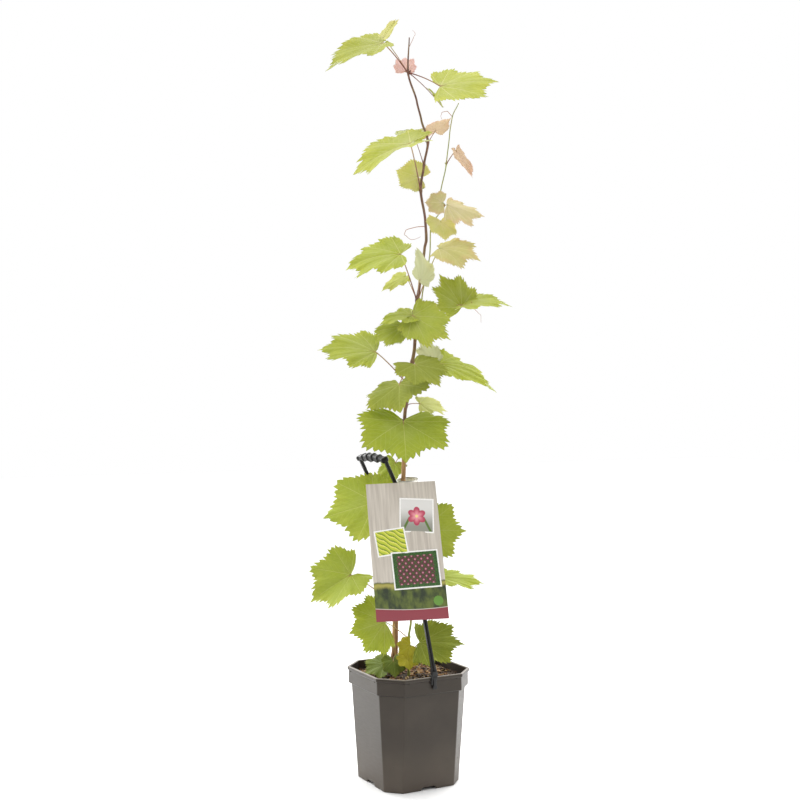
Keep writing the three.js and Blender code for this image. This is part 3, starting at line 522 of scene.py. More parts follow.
def buds(limbs, length, radius):
    """A bud at each node, on the side away from its leaves: a spindle of radius sin(pi t)^0.7."""
    random = np.random.default_rng(11)
    t = np.linspace(0, 1, 9)
    spindle = radius * np.sin(math.pi * np.clip(t, 0.05, 0.97)) ** 0.7
    made = []
    for _, limb, height, leaves in FOLIAGE:
        if limb not in limbs:
            continue
        centre, stem_radius = limb_at(LIMBS[limb], height)
        heading = leaves[0].petiole[1] + 150 + 40 * random.random()
        size = length * (0.7 + 0.5 * random.random())
        foot = centre + (stem_radius + 0.4) * direction(heading, 0)
        made.append(tube(foot + (t * size)[:, None] * direction(heading, 62), spindle, 8))
    return join(made)


def tendril(centres, coil_radius, turns, thickness):
    """A tendril along a smoothed line through its centres, with a coil about the last stretch whose
    radius grows from nothing; it thins towards its tip."""
    path = resampled(centres, 90)
    for _ in range(12):
        path[1:-1] = (path[:-2] + 2 * path[1:-1] + path[2:]) / 4
    t = np.linspace(0, 1, len(path))
    late = ease((t - 0.45) / 0.35)
    path[:, 0] += coil_radius * late * np.cos(2 * math.pi * turns * t)
    path[:, 2] += coil_radius * late * np.sin(2 * math.pi * turns * t)
    return tube(path, thickness * (1 - 0.6 * t), 7, reference=(0.02, 1, 0.03))


# ---- leaves --------------------------------------------------------------------------------------


def margin_angles():
    """Angles of the margin's points, five to a tooth, alike on both sides of a tooth at the tip."""
    step = OUTLINE_END / TEETH
    steps = (np.arange(TEETH)[:, None] + TOOTH_STEPS - TOOTH_TIP).ravel() * step
    left = np.append(steps[steps > 0.01], OUTLINE_END)
    return np.concatenate([-left[::-1], [0], left])


def blade_faces(rows, columns):
    """Triangles of an upper and a lower sheet over shares by angles, which share the points of the
    margin and of the two edges at the stalk; each sheet has one point at the stalk. With them come
    the points that they use."""
    upper = np.arange(rows * columns).reshape(rows, columns)
    lower = upper + rows * columns
    for sheet in (upper, lower):
        sheet[0] = sheet[0, 0]
    for edge in (0, -1):
        lower[edge], lower[1:, edge] = upper[edge], upper[1:, edge]
    cells = grid_faces(rows, columns, False)
    faces = np.concatenate([upper.ravel()[cells[:, ::-1]], lower.ravel()[cells]])
    whole = (faces != np.roll(faces, 1, axis=1)).all(1)
    kept, faces = np.unique(faces[whole], return_inverse=True)
    return kept, faces.reshape(-1, 3)


ANGLES = margin_angles()
KEPT_POINTS, BLADE_FACES = blade_faces(len(BLADE_SHARES), len(ANGLES))


def blade_reach(angle, lobing):
    """Share of the length that a blade reaches at an angle: the line through the lobe tips, and the
    lobed outline as far as the lobes are cut, smoothed over a few degrees."""
    reach = 0
    for offset in (-3, 0, 3):
        at = np.minimum(np.abs(angle + offset), OUTLINE_END)
        plain = np.interp(at, *LOBE_TIPS.T)
        reach = reach + (plain + LOBE_DEPTH * lobing * (np.interp(at, *OUTLINE.T) - plain)) / 3
    return reach


def teeth(angle, random):
    """Saw teeth that point to the tip of the blade: each rises over the first part of its step and
    falls over the rest, every other one is larger, and no two are quite alike."""
    place = np.abs(angle) * TEETH / OUTLINE_END + TOOTH_TIP
    tooth = np.minimum(place.astype(int), TEETH)
    within = place - tooth
    rise = np.where(within < TOOTH_TIP, within / TOOTH_TIP, (1 - within) / (1 - TOOTH_TIP))
    uneven = 0.6 + 0.8 * random.random((2, TEETH + 1))
    size = uneven[(angle > 0).astype(int), tooth] * np.where(tooth % 2, SMALL_TOOTH, LARGE_TOOTH)
    return size * (rise - TOOTH_MIDDLE)


def vein_distance(angle):
    """How far each angle is from its main vein, as a share of half the way to the next one, and the
    angle of that vein."""
    edges = [0, *(VEIN_ANGLES[1:] + VEIN_ANGLES[:-1]) / 2, OUTLINE_END]
    angle = np.abs(angle)
    share, nearest = np.zeros_like(angle), np.zeros_like(angle)
    for vein, low, high in zip(VEIN_ANGLES, edges, edges[1:]):
        within = (angle >= low) & (angle <= high)
        below, above = max(vein - low, 1), max(high - vein, 1)
        gap = np.where(angle < vein, (vein - angle) / below, (angle - vein) / above)
        share, nearest = np.where(within, gap, share), np.where(within, vein, nearest)
    return share, nearest


def shape_blade(leaf, waves, phase, x, flat_y, share, turn, lift):
    """Folds the flat blade about its midrib, waves its margin, twists it along its length and then
    bends it downwards round an arc; z up from the upper face."""
    length = leaf.size[0]
    bend, left, right, twist = (math.radians(value) for value in leaf.curl)
    blend = 0.5 + 0.5 * np.tanh(flat_y / (0.05 * length))
    fold = right + (left - right) * blend
    beside = np.sqrt(flat_y ** 2 + (0.02 * length) ** 2) - 0.02 * length
    z = beside * np.sin(fold) + lift + WAVE * length * share ** 2 * np.sin(waves * turn + phase)
    y, z = swing(flat_y * np.cos(fold), z, twist * x / length)
    curl = bend / length
    if abs(curl) < 1e-6:
        return np.stack([x, y, z], -1)
    arc = np.sin(curl * x) / curl + z * np.sin(curl * x)
    return np.stack([arc, y, (np.cos(curl * x) - 1) / curl + z * np.cos(curl * x)], -1)


def blade_axes(leaf):
    """Rows of unit vectors along the midrib, across to the left half, and out of the upper face."""
    heading, pitch, roll = leaf.blade
    along, level = direction(heading, pitch), direction(heading, pitch + 90)
    return np.array([along, *swing(np.cross(level, along), level, math.radians(roll))])


def blade(leaf, joint, waves, phase, seed):
    """A leaf blade on polar coordinates: reach times share out from the stalk, with saw teeth near
    the margin, a bulge between main veins, the veins sunk in the upper face, and fine ripples. Two
    sheets a leaf's thickness apart meet at the margin."""
    random = np.random.default_rng(seed)
    length, width = leaf.size
    angle, share = np.meshgrid(ANGLES, BLADE_SHARES)
    toothed = TOOTH_DEPTH * teeth(angle, random) * ease((share - 0.74) / 0.26)
    reach = share * blade_reach(angle, leaf.lobing) * (1 + toothed)
    turn = np.radians(angle * leaf.spread / OUTLINE_END)
    x, flat_y = length * reach * np.cos(turn), width * length * reach * np.sin(turn)
    between, nearest = vein_distance(angle)
    beside = length * reach * np.sin(np.radians(np.abs(np.abs(angle) - nearest)))
    groove = VEIN_SINK * bell(beside, 0.014 * length) * (1 - 0.8 * share)
    surface = BULGE * length * share * (1 - share / 2.4) * np.sin(math.pi / 2 * np.minimum(between, 1)) ** 1.3
    surface += RIPPLE * length * share ** 3 * np.sin(2.6 * waves * turn + 2 * phase)
    surface += 0.5 * RIPPLE * length * share ** 4 * np.sin(6.1 * waves * turn + 5 * phase)
    edge = np.minimum(1, (OUTLINE_END - np.abs(angle)) / 6)
    half = BLADE_HALF * np.sqrt(np.clip(1 - share ** 8, 0, 1)) * edge
    sheets = [shape_blade(leaf, waves, phase, x, flat_y, share, turn, surface - sunk * groove * edge + offset)
              for sunk, offset in ((1, half), (1.6, -half))]
    points = np.concatenate([sheet.reshape(-1, 3) for sheet in sheets])[KEPT_POINTS]
    nominal = np.radians(angle)
    fields = dict(u=0.5 + 0.5 * reach * np.cos(nominal), v=0.5 + 0.5 * reach * np.sin(nominal), rim=share)
    fields = {name: np.tile(values.ravel(), 2)[KEPT_POINTS] for name, values in fields.items()}
    fields["side"] = (KEPT_POINTS >= angle.size).astype(float)
    fields["tone"] = np.full(len(points), random.random())
    return Body(joint + points @ blade_axes(leaf), BLADE_FACES, fields)


def petiole(leaf, node, joint, stem_radius, waves, phase):
    """A leaf stalk: out of the node, arching over to the joint and on under the midrib, thicker at
    its foot and where it meets the blade."""
    length, heading, rise = leaf.petiole
    blade_length = leaf.size[0]
    start = node + 0.5 * stem_radius * direction(heading, 0)
    bow = (start + joint) / 2 + np.array([0, 0, PETIOLE_BOW * length])
    midrib = np.zeros(1)
    under = shape_blade(leaf, waves, phase, midrib + PETIOLE_END * blade_length, midrib, midrib, midrib, -0.5)
    tip = joint + (under @ blade_axes(leaf))[0]
    path = np.concatenate([bezier(start, bow, joint, 22), bezier(joint, joint * 0.4 + tip * 0.6, tip, 6)[1:]])
    t = np.linspace(0, 1, len(path))
    radius = (blade_length / 100) ** 0.35 * (0.95 + 0.75 * np.exp(-12 * t) + 0.25 * bell(t - 0.78, 0.06))
    radius = radius * (1 - 0.65 * ease((t - 0.8) / 0.2))
    reference = (0.13, 0.07, 1) if abs(rise) < STEEP_PETIOLE else (1, 0.2, 0.1)
    return tube(path, radius, 10, reference, along=t[:, None])


def grow_foliage():
    """Every leaf of every mass by the seeded rule: its joint is the node plus the petiole's length
    along its heading and rise. Blades are dealt out by tint and height, with the masses that they
    replace, and stalks by limb and tint."""
    blades, stalks = {}, {}
    for index, (name, limb, height, leaves) in enumerate(FOLIAGE):
        (node,), (stem_radius,) = limb_at(LIMBS[limb], height)
        level = "crown" if height > CROWN_FROM else "middle" if height > MIDDLE_FROM else "low"
        random = seeded(index + 1)
        for order, leaf in enumerate(leaves):
            length, heading, rise = leaf.petiole
            joint = node + length * direction(heading, rise)
            waves, phase = 4 + math.floor(3 * random()), 2 * math.pi * random()
            bodies, nodes = blades.setdefault((leaf.tint, level), ([], []))
            bodies.append(blade(leaf, joint, waves, phase, 100 * index + order))
            if order == 0:
                nodes.append(name)
            shade = "green" if limb == "basal_shoot" or leaf.tint in ("olive", "lime") else "red"
            stalks.setdefault(shade, []).append(petiole(leaf, node, joint, stem_radius, waves, phase))
    return blades, stalks


# ---- pot and compost -----------------------------------------------------------------------------

OCTAGON_SIDES = 8
CORNER_STEPS = 5
NOTCH_STEPS = np.array([-17.2, -16.4, -12.6, 0, 12.6, 16.4, 17.2])

# Rows of height, half width and corner cut between which the pot's walls run straight.
BASE = (0, BASE_HALF, BASE_CUT)
WAIST = (WAIST_Z, WAIST_HALF, WAIST_CUT)
COLLAR_FOOT = (WAIST_Z + 1.4, COLLAR_HALF, COLLAR_CUT)
COLLAR_TOP = (POT_HEIGHT - LIP_HEIGHT, RIM_HALF - LIP_PROUD, RIM_CUT - 0.8)


def octagon_ring(half, cut, rounding):
    """Points round an octagon whose corners are rounded, with the same count on every side, and how
    far each point of a flat side is from that side's middle (elsewhere it is out of reach)."""
    short = half - cut
    corners = np.array([
        (half, -short), (half, short), (short, half), (-short, half),
        (-half, short), (-half, -short), (-short, -half), (short, -half),
    ])
    trim = rounding * math.tan(math.pi / OCTAGON_SIDES)
    points, places = [], []
    for side in range(OCTAGON_SIDES):
        start, end, beyond = (corners[(side + step) % OCTAGON_SIDES] for step in range(3))
        reach = np.linalg.norm(end - start) / 2 - trim
        ahead, turned = unit(end - start), unit(beyond - end)
        inner = NOTCH_STEPS if side % 2 == 0 else np.linspace(-0.7, 0.7, len(NOTCH_STEPS)) * reach
        along = np.concatenate([[-reach, -reach + 0.9], inner, [reach - 0.9, reach]])
        points.append((start + end) / 2 + along[:, None] * ahead)
        places.append(np.full(len(along), np.inf) if side % 2 else along)
        points.append(bezier(end - trim * ahead, end, end + trim * turned, CORNER_STEPS + 2)[1:-1])
        places.append(np.full(CORNER_STEPS, np.inf))
    return np.concatenate(points), np.concatenate(places)


def octagon_rings(sections):
    """Rings of a lofted octagon from rows of height, half width, corner cut, corner rounding and
    how much of the foot's arch the row takes: the arch lifts the middle of each flat side."""
    rings = []
    for z, half, cut, rounding, arched in sections:
        outline, place = octagon_ring(half, cut, rounding)
        arch = NOTCH_RISE * ease((NOTCH_HALF - np.abs(place)) / 4) * arched
        rings.append(np.column_stack([outline, z + arch]))
    return np.array(rings)


def straight_wall(z, low, high):
    """Half width and corner cut at a height on the straight wall between two rows."""
    share = (z - low[0]) / (high[0] - low[0])
    return [a + (b - a) * share for a, b in zip(low[1:], high[1:])]


def inner_section(z, gap):
    """Half width and corner cut of the pot's inside at a height, a wall and a gap inside the outer
    face; the collar shows inside as a ledge."""
    inset = WALL + gap
    outer = [BASE, (WAIST_Z + 3, *WAIST[1:]), (WAIST_Z + 5, *COLLAR_FOOT[1:]), (POT_HEIGHT, *COLLAR_TOP[1:])]
    heights, halves, cuts = np.array(outer).T
    return np.interp(z, heights, halves - inset), np.interp(z, heights, cuts - 0.59 * inset)


def pot_shell():
    """The pot as one loft: under its floor, down and out round the arched foot, up the wall and the
    collar, over the rounded lip and down inside to the floor."""
    foot_half, foot_cut = BASE_HALF - FOOT_WIDTH, BASE_CUT - 2
    lip_z, inside = POT_HEIGHT - LIP_HEIGHT, inner_section(POT_HEIGHT, 0)
    wall_heights = (10, 30, 55, 80, 105, 130, 150, 164, WAIST_Z - 0.4)
    inner_heights = (POT_HEIGHT - 0.9, 195, 188, WAIST_Z + 5, WAIST_Z + 3, 120, 60, FOOT_HEIGHT + FLOOR)
    return sleeve(octagon_rings([
        (FOOT_HEIGHT, foot_half, foot_cut, 3, 0),
        (0.3, foot_half, foot_cut, 3, 0.6),
        (0, foot_half + 0.6, foot_cut, 3, 0.66),
        (0, BASE_HALF - 1.1, BASE_CUT, 4, 1),
        (0.35, BASE_HALF - 0.35, BASE_CUT, 4, 0.92),
        (1, *straight_wall(1, BASE, WAIST), 4, 0.84),
        (NOTCH_RISE + 0.8, *straight_wall(NOTCH_RISE + 0.8, BASE, WAIST), 4, 0),
        *[(z, *straight_wall(z, BASE, WAIST), 4, 0) for z in wall_heights],
        (WAIST_Z, COLLAR_HALF - 3.6, COLLAR_CUT - 0.8, 4, 0),
        (WAIST_Z + 0.4, COLLAR_HALF - 0.8, COLLAR_CUT, 4, 0),
        (*COLLAR_FOOT, 4, 0),
        *[(z, *straight_wall(z, COLLAR_FOOT, COLLAR_TOP), 4, 0) for z in (178, 184, 190, lip_z - 0.6)],
        (lip_z, RIM_HALF - LIP_PROUD + 0.5, RIM_CUT - 0.6, 4, 0),
        (lip_z + 0.5, RIM_HALF - 0.5, RIM_CUT - 0.2, 4, 0),
        (lip_z + 1.3, RIM_HALF, RIM_CUT, 4, 0),
        (POT_HEIGHT - 1.6, RIM_HALF, RIM_CUT, 4, 0),
        (POT_HEIGHT - 0.5, RIM_HALF - 0.4, RIM_CUT, 4, 0),
        (POT_HEIGHT, RIM_HALF - 1.3, RIM_CUT - 0.4, 4, 0),
        (POT_HEIGHT - 0.1, inside[0] + 0.7, inside[1] + 0.3, 3.4, 0),
        *[(z, *inner_section(z, 0), 3, 0) for z in inner_heights],
    ]))


def turned_disc(profile, sides):
    """A closed body turned about Z from rows of radius and height, from its underside up."""
    turn = around(sides)
    rings = [np.column_stack([r * np.cos(turn), r * np.sin(turn), np.full(sides, z)]) for r, z in profile]
    return sleeve(np.array(rings))


def pot_details():
    """The pad under the floor, two small lugs under the lip on each flat side, and the mark that
    the moulding gate left low on each slanted side."""
    marks = []
    for place in (-LUG_PLACE, LUG_PLACE):
        along, lip_z = place * (RIM_HALF - RIM_CUT), POT_HEIGHT - LIP_HEIGHT
        path = [(RIM_HALF - 1.9, along, lip_z + step) for step in (-2.1, -1.5, -0.1, 0.7)]
        marks.append(ribbon(path, [2.6, 3.4, 3.6, 3.6], 2.4, (0, 1, 0)))
    gate = turned_disc([(1.3, -0.4), (1.25, 0.1), (0.9, 0.45), (0.3, 0.6)], 14)
    half, cut = straight_wall(GATE_Z, BASE, WAIST)
    level, up, out = gate.points.T
    standing = np.column_stack([(2 * half - cut) / math.sqrt(2) + out, level, GATE_Z + up])
    marks.append(gate._replace(points=about_z(standing, 45)))
    pad = turned_disc([(PAD_RADIUS - 0.6, 0), (PAD_RADIUS, 0.6), (PAD_RADIUS + 0.8, FOOT_HEIGHT + 0.5)], 48)
    return join([pad, *[mark._replace(points=about_z(mark.points, quarter))
                        for quarter in (0, 90, 180, 270) for mark in marks]])


def compost_height(x, y, share):
    """Height of the compost: a low dome, with lumps of three sizes, a little hollow at the wall."""
    bumps = sum(height * (lumps(x, y, size, seed) - 0.5) for height, size, seed in COMPOST_LUMPS)
    return SOIL_TOP - SOIL_DOME * share ** 2 + bumps * (1 - 0.5 * share ** 6)


def compost_bed():
    """The compost from a hidden depth up the wall, then inward over its lumpy top to the middle."""
    rings = []
    for z in (150, WAIST_Z + 2.6, WAIST_Z + 5.6, SOIL_TOP - SOIL_DOME - 1.5):
        edge, _ = octagon_ring(*inner_section(z, SOIL_GAP), 3)
        rings.append(np.column_stack([edge, np.full(len(edge), z)]))
    for share in np.linspace(1, 0.02, 60):
        x, y = (edge * share).T
        rings.append(np.column_stack([x, y, compost_height(x, y, share)]))
    return sleeve(np.array(rings))


def bark_chips(seed, size):
    """Flakes of bark on the compost: each is a flat six-sided slab with uneven corners, stretched,
    turned and tipped by seeded draws, and laid at the compost's height."""
    random = np.random.default_rng(seed)
    half, cut = inner_section(SOIL_TOP, SOIL_GAP)
    place = random.uniform(-half, half, (4 * CHIPS_OF_A_KIND, 2))
    inside = (np.abs(place).sum(1) < 2 * half - cut - 8) & (np.abs(place).max(1) < half - 4)
    place = place[inside][:CHIPS_OF_A_KIND]
    count, corners = len(place), 6
    ring = np.stack([np.cos(around(corners)), np.sin(around(corners))], -1)
    ring = ring * random.uniform(0.6, 1.15, (count, 2, corners, 1))
    level = np.broadcast_to([[[-1.0]], [[1.0]]], (count, 2, corners, 1))
    slab = np.concatenate([ring, level], -1).reshape(count, 2 * corners, 3)
    poles = np.broadcast_to([[0, 0, -1.2], [0, 0, 1.2]], (count, 2, 3))
    stretch = random.uniform(0.7, 1.3, (count, 1, 3)) * np.array(size)
    x, y, z = np.moveaxis(np.concatenate([slab, poles], 1) * stretch, -1, 0)
    yaw, pitch, roll = random.uniform([[0], [-0.5], [-0.5]], [[6.28], [0.5], [0.5]], (3, count))[..., None]
    y, z = swing(y, z, roll)
    z, x = swing(z, x, pitch)
    x, y = swing(x, y, yaw)
    share = np.minimum(np.linalg.norm(place, axis=1) / half, 1)
    height = compost_height(*place.T, share) + random.uniform(0.2, 1.6, count)
    points = np.stack([x, y, z], -1) + np.column_stack([place, height])[:, None]
    faces = sleeve(np.zeros((2, corners, 3))).faces + (2 * corners + 2) * np.arange(count)[:, None, None]
    return Body(points.reshape(-1, 3), faces.reshape(-1, 3), {})


# ---- carry handle --------------------------------------------------------------------------------

HOOP_UP = unit(np.array([HANDLE.lean - HANDLE.knee_lean, 0, HANDLE.grip_z - HANDLE.knee_z], float))


def leg_path(sign):
    """The leg's middle line: straight from the clip, round the knee, straight on to the grip."""
    foot = np.array([0, sign * (RIM_HALF + 1), HANDLE.foot_z])
    knee = np.array([HANDLE.knee_lean, sign * HANDLE.grip_half, HANDLE.knee_z], float)
    top = np.array([HANDLE.lean, sign * HANDLE.grip_half, HANDLE.grip_z]) - 3 * HOOP_UP
    bend = bezier(knee + 0.1 * (foot - knee), knee, knee + 0.35 * (top - knee), 14)
    rise = foot + np.linspace(0, 1, 16)[:-1, None] * (bend[0] - foot)
    lead = bend[-1] + np.linspace(0, 1, 5)[1:, None] * (top - bend[-1])
    return np.concatenate([rise, bend, lead])


def leg(sign):
    """A channel: two rails with a trough between them on the outer face, level at every height, and
    broader towards the clip."""
    wide, thick = HANDLE.leg_width / 2, HANDLE.leg_thick / 2
    profile = np.array([
        (wide - 0.5, -thick), (wide, -thick + 0.5), (wide, thick - 0.6), (wide - 0.5, thick),
        (0.9, thick), (0.4, thick - 0.5), (0.2, thick - 2.2), (-wide + 1.3, thick - 2.2),
        (-wide + 1.1, thick - 0.5), (-wide + 0.8, thick), (-wide + 0.4, thick), (-wide, thick - 0.6),
        (-wide, -thick + 0.5), (-wide + 0.5, -thick),
    ])
    if sign < 0:
        profile = profile[::-1] * (1, -1)
    path = leg_path(sign)
    flare = 1 + 0.7 * bell(path[:, 2] - path[0, 2], 14)
    rings = np.zeros((len(path), len(profile), 3))
    rings[..., 0] = profile[:, 0] * flare[:, None]
    rings[..., 1] = profile[:, 1]
    return sleeve(path[:, None] + rings)


def grip():
    """The grip as rings along Y in the hoop's plane: an arched back, finger waves below, and
    pockets sunk into its sides and back between thin ribs; the ends are rounded off."""
    end, half = HANDLE.grip_half + HANDLE.leg_width / 2, HANDLE.grip_half
    out = end * np.sin(np.linspace(-math.pi / 2, math.pi / 2, 181))
    turn = around(48)
    top = HANDLE.grip_height / 2 - 4 + HANDLE.grip_arch * np.cos(math.pi * out / (2 * end))
    wave = np.abs(np.sin(math.pi * HANDLE.fingers * (out + half) / (2 * half)))
    low = HANDLE.grip_height / 2 - HANDLE.finger_depth * wave * (np.abs(out) < half)
    shut = np.sqrt(np.clip(1 - np.clip((np.abs(out) - end + 4) / 4, 0, 1) ** 2, 0.02, 1))[:, None]
    cell = (out / (0.92 * end) + 1) / 2 * HANDLE.pockets
    inside = (cell > 0) & (cell < HANDLE.pockets)
    pocket = ease((0.5 - np.abs(cell % 1 - 0.5)) / 0.5 * 2.6 - 0.35) * inside
    pockets = pocket[:, None] * ease((np.sin(turn) + 0.75) / 0.5)
    sunk = 1 - HANDLE.pocket_depth * pockets
    wide, tall = squared_off(turn, 0.55)
    square = HANDLE.grip_depth / 2 * wide * sunk * shut
    rise = np.where(tall > 0, tall * top[:, None], tall * low[:, None]) * shut * (0.35 + 0.65 * sunk)
    along = np.array([0, 1, 0])
    centre = np.array([HANDLE.lean, 0, HANDLE.grip_z]) + out[:, None, None] * along
    rings = centre + rise[..., None] * HOOP_UP + square[..., None] * np.cross(HOOP_UP, along)
    return sleeve(rings, pocket=pockets)


def clip(sign):
    """A hook over the rim: a tongue outside that ends in a pad, a short prong beside it, and a
    bridge that goes down inside as a plate, with the socket of the leg on top."""
    plate = HANDLE.clip_plate
    outside = RIM_HALF + HANDLE.clip_gap + plate / 2
    inside = RIM_HALF - LIP_PROUD - WALL - HANDLE.clip_gap - plate / 2
    crown = POT_HEIGHT + HANDLE.clip_gap + plate / 2 + 0.7
    tongue = resampled([
        (outside, POT_HEIGHT - HANDLE.clip_outer, 8), (outside, POT_HEIGHT - HANDLE.clip_outer + 4, 8.6),
        (outside, POT_HEIGHT - 14, 5.4), (outside, POT_HEIGHT - 6, 6), (outside, crown - 2.5, 9),
        (outside - 0.8, crown - 0.6, 12), (outside - 2.4, crown, 13), (inside + 2.4, crown, 13),
        (inside + 0.8, crown - 0.6, 13), (inside, crown - 2.5, 12.5), (inside - 0.5, POT_HEIGHT - 6, 12),
        (inside - 1.2, POT_HEIGHT - HANDLE.clip_inner, 10),
    ], 60)
    prong = np.linspace(POT_HEIGHT - 13, crown - 1.5, 14)
    socket = np.linspace(crown - 1, HANDLE.foot_z + 5, 8)

    def upright(x, out, z, widths, thickness):
        path = np.stack(np.broadcast_arrays(x, sign * out, z), -1)
        return ribbon(path, widths, thickness, (1, 0, 0))

    return join([
        upright(0.8, tongue[:, 0], tongue[:, 1], tongue[:, 2], plate),
        upright(-5.2, outside, prong, 2.6 + 0.5 * np.cos(prong / 3), 0.9 * plate),
        upright(0, RIM_HALF + 1, socket, np.linspace(13, 9, 8), 5.2),
    ])


# ---- label ---------------------------------------------------------------------------------------


def card_place(across, up, lift):
    """Place of a point of the card: leaning to one side, narrower at the top, bowed forwards in the
    middle, and lifted off its face."""
    side, edge = math.radians(LABEL.tilt), math.radians(LABEL.edge_tilt)
    share = up / LABEL.height + 0.5
    wide = across * (1 + (LABEL.top_width / LABEL.foot_width - 1) * share)
    bow = LABEL.bow * (1 - (2 * across / LABEL.foot_width) ** 2) * (0.4 + 0.6 * ease(1 - share))
    x = LABEL.x + wide * math.cos(edge) - up * math.sin(side)
    z = LABEL.z + wide * math.sin(edge) + up * math.cos(side)
    return np.stack([x, LABEL.y - bow - lift, z], -1)


def plate(centre, size, tilt, lift, thick, rounding):
    """A thin plate on the card: rings of one rounded oblong, shrunk to its middle at the back, full
    size at both faces, and shrunk again at the front, so that it follows the card's bow."""
    half = np.array(size) / 2
    power = 2 * rounding / min(half)
    flat = np.stack(squared_off(around(96) + math.pi / 96, power), -1)
    flat = flat / np.abs(flat).max(1, keepdims=True) ** (1 - power)
    flat = flat / np.abs(flat).max()
    rings = [(0.3, 0), (0.7, 0), (1, 0), (1, 0.8)]
    rings += [(scale, 1) for scale in (0.985, 0.86, 0.7, 0.54, 0.38, 0.22, 0.08)]
    scales, lifts = np.array(rings).T[..., None]
    across, up = swing(*(flat * half).T[:, None] * scales, math.radians(tilt))
    places = card_place(centre[0] + across, centre[1] + up, lift + thick * lifts)
    return sleeve(places, u=0.5 + flat[:, 0] * scales / 2, v=0.5 + flat[:, 1] * scales / 2)


def strap():
    """A flat loop round the stems: a stretched circle of a thin band whose edges are rolled, rising
    a little to one side."""
    thick, tall = STRAP.thick / 2, STRAP.tall / 2
    profile = np.array([
        (-thick, -tall), (0, -tall - 0.2), (thick, -tall), (thick * 0.7, 0),
        (thick, tall), (0, tall + 0.2), (-thick, tall), (-thick * 1.3, 0),
    ])
    turn = around(160)
    out = np.stack([np.cos(turn), np.sin(turn)], -1)
    reach = np.array([STRAP.half_width, STRAP.half_depth]) - STRAP.thick / 2
    line = np.array([STRAP.x, STRAP.y]) + out * reach
    flat = line[:, None] + profile[:, :1] * unit(out / reach)[:, None]
    height = STRAP.z + profile[:, 1] + STRAP.rise * np.cos(turn)[:, None]
    points = np.concatenate([flat, height[..., None]], -1).reshape(-1, 3)
    edge = np.broadcast_to(np.abs(profile[:, 1]) / tall, height.shape)
    return Body(points, grid_faces(*height.shape, True, looped=True), dict(edge=edge.ravel()))

# ---- shader nodes --------------------------------------------------------------------------------


def paint(code):
    """A colour code such as #a3b23a as linear red, green, blue and alpha."""
    values = [int(code[start:start + 2], 16) / 255 for start in (1, 3, 5)]
    return (*[v / 12.92 if v < 0.04 else ((v + 0.055) / 1.055) ** 2.4 for v in values], 1)


class Signal:
    """A node's output; arithmetic on it adds the nodes that work the result out."""

    def __init__(self, wiring, socket):
        self.wiring, self.socket = wiring, socket

    def math(self, operation, *others):
        return self.wiring.math(operation, self, *others)

    def ease(self, low, high, start=0.0, end=1.0):
        """start at low, end at high, and an eased step between; low may be the larger."""
        values = dict(enumerate((self, low, high, start, end)))
        return self.wiring.out(self.wiring.node("MapRange", values, interpolation_type="SMOOTHSTEP"))

    def __add__(self, other):
        return self.math("ADD", other)

    def __sub__(self, other):
        return self.math("SUBTRACT", other)

    def __rsub__(self, other):
        return self.wiring.math("SUBTRACT", other, self)

    def __mul__(self, other):
        return self.math("MULTIPLY", other)

    def __truediv__(self, other):
        return self.math("DIVIDE", other)

    def __abs__(self):
        return self.math("ABSOLUTE")


class Wiring:
    """Adds nodes to a tree and joins them; a value may be a signal, a colour code or a number."""

    def __init__(self, tree):
        self.tree = tree

    def feed(self, socket, value):
        if isinstance(value, Signal):
            self.tree.links.new(value.socket, socket)
        else:
            socket.default_value = paint(value) if isinstance(value, str) else value

    def node(self, kind, inputs=None, **settings):
        made = self.tree.nodes.new("ShaderNode" + kind)
        for name, value in settings.items():
            setattr(made, name, value)
        for name, value in (inputs or {}).items():
            self.feed(made.inputs[name], value)
        return made

    def out(self, node, key=0):
        return Signal(self, node.outputs[key])

    def signals(self, node):
        return {socket.name: Signal(self, socket) for socket in node.outputs}

    def math(self, operation, *values):
        return self.out(self.node("Math", dict(enumerate(values)), operation=operation))

    def mix(self, share, first, second):
        return self.out(self.node("Mix", {0: share, 6: first, 7: second}, data_type="RGBA"), 2)

    def noise(self, vector, scale, detail=3.0, roughness=0.55):
        values = dict(Vector=vector, Scale=scale, Detail=detail, Roughness=roughness)
        return self.out(self.node("TexNoise", values))

    def voronoi(self, vector, scale, feature="F1"):
        cells = self.node("TexVoronoi", dict(Vector=vector, Scale=scale), feature=feature)
        return self.out(cells, "Distance")

    def stretched(self, vector, scale):
        return self.out(self.node("Mapping", dict(Vector=vector, Scale=scale)))

    def place(self):
        return self.out(self.node("TexCoord"), "Object")

    def uv(self):
        return self.out(self.node("UVMap", uv_map="UVMap"))

    def field(self, name):
        return self.out(self.node("Attribute", attribute_name=name), "Fac")

    def split(self, vector):
        return [Signal(self, socket) for socket in self.node("SeparateXYZ", dict(Vector=vector)).outputs]

    def use(self, group, **inputs):
        """Places a group and gives its outputs by name."""
        return self.signals(self.node("Group", inputs, node_tree=group))


def shader_group(name, inputs, outputs, wire):
    """A node group whose inputs and outputs are given as name: kind; wire(wiring, given) returns
    the values of its outputs."""
    tree = bpy.data.node_groups.new(name, "ShaderNodeTree")
    for way, sockets in (("INPUT", inputs), ("OUTPUT", outputs)):
        for socket, kind in sockets.items():
            tree.interface.new_socket(socket, in_out=way, socket_type="NodeSocket" + kind)
    entry, leave = tree.nodes.new("NodeGroupInput"), tree.nodes.new("NodeGroupOutput")
    wiring = Wiring(tree)
    for socket, value in zip(leave.inputs, wire(wiring, wiring.signals(entry))):
        wiring.feed(socket, value)
    return tree


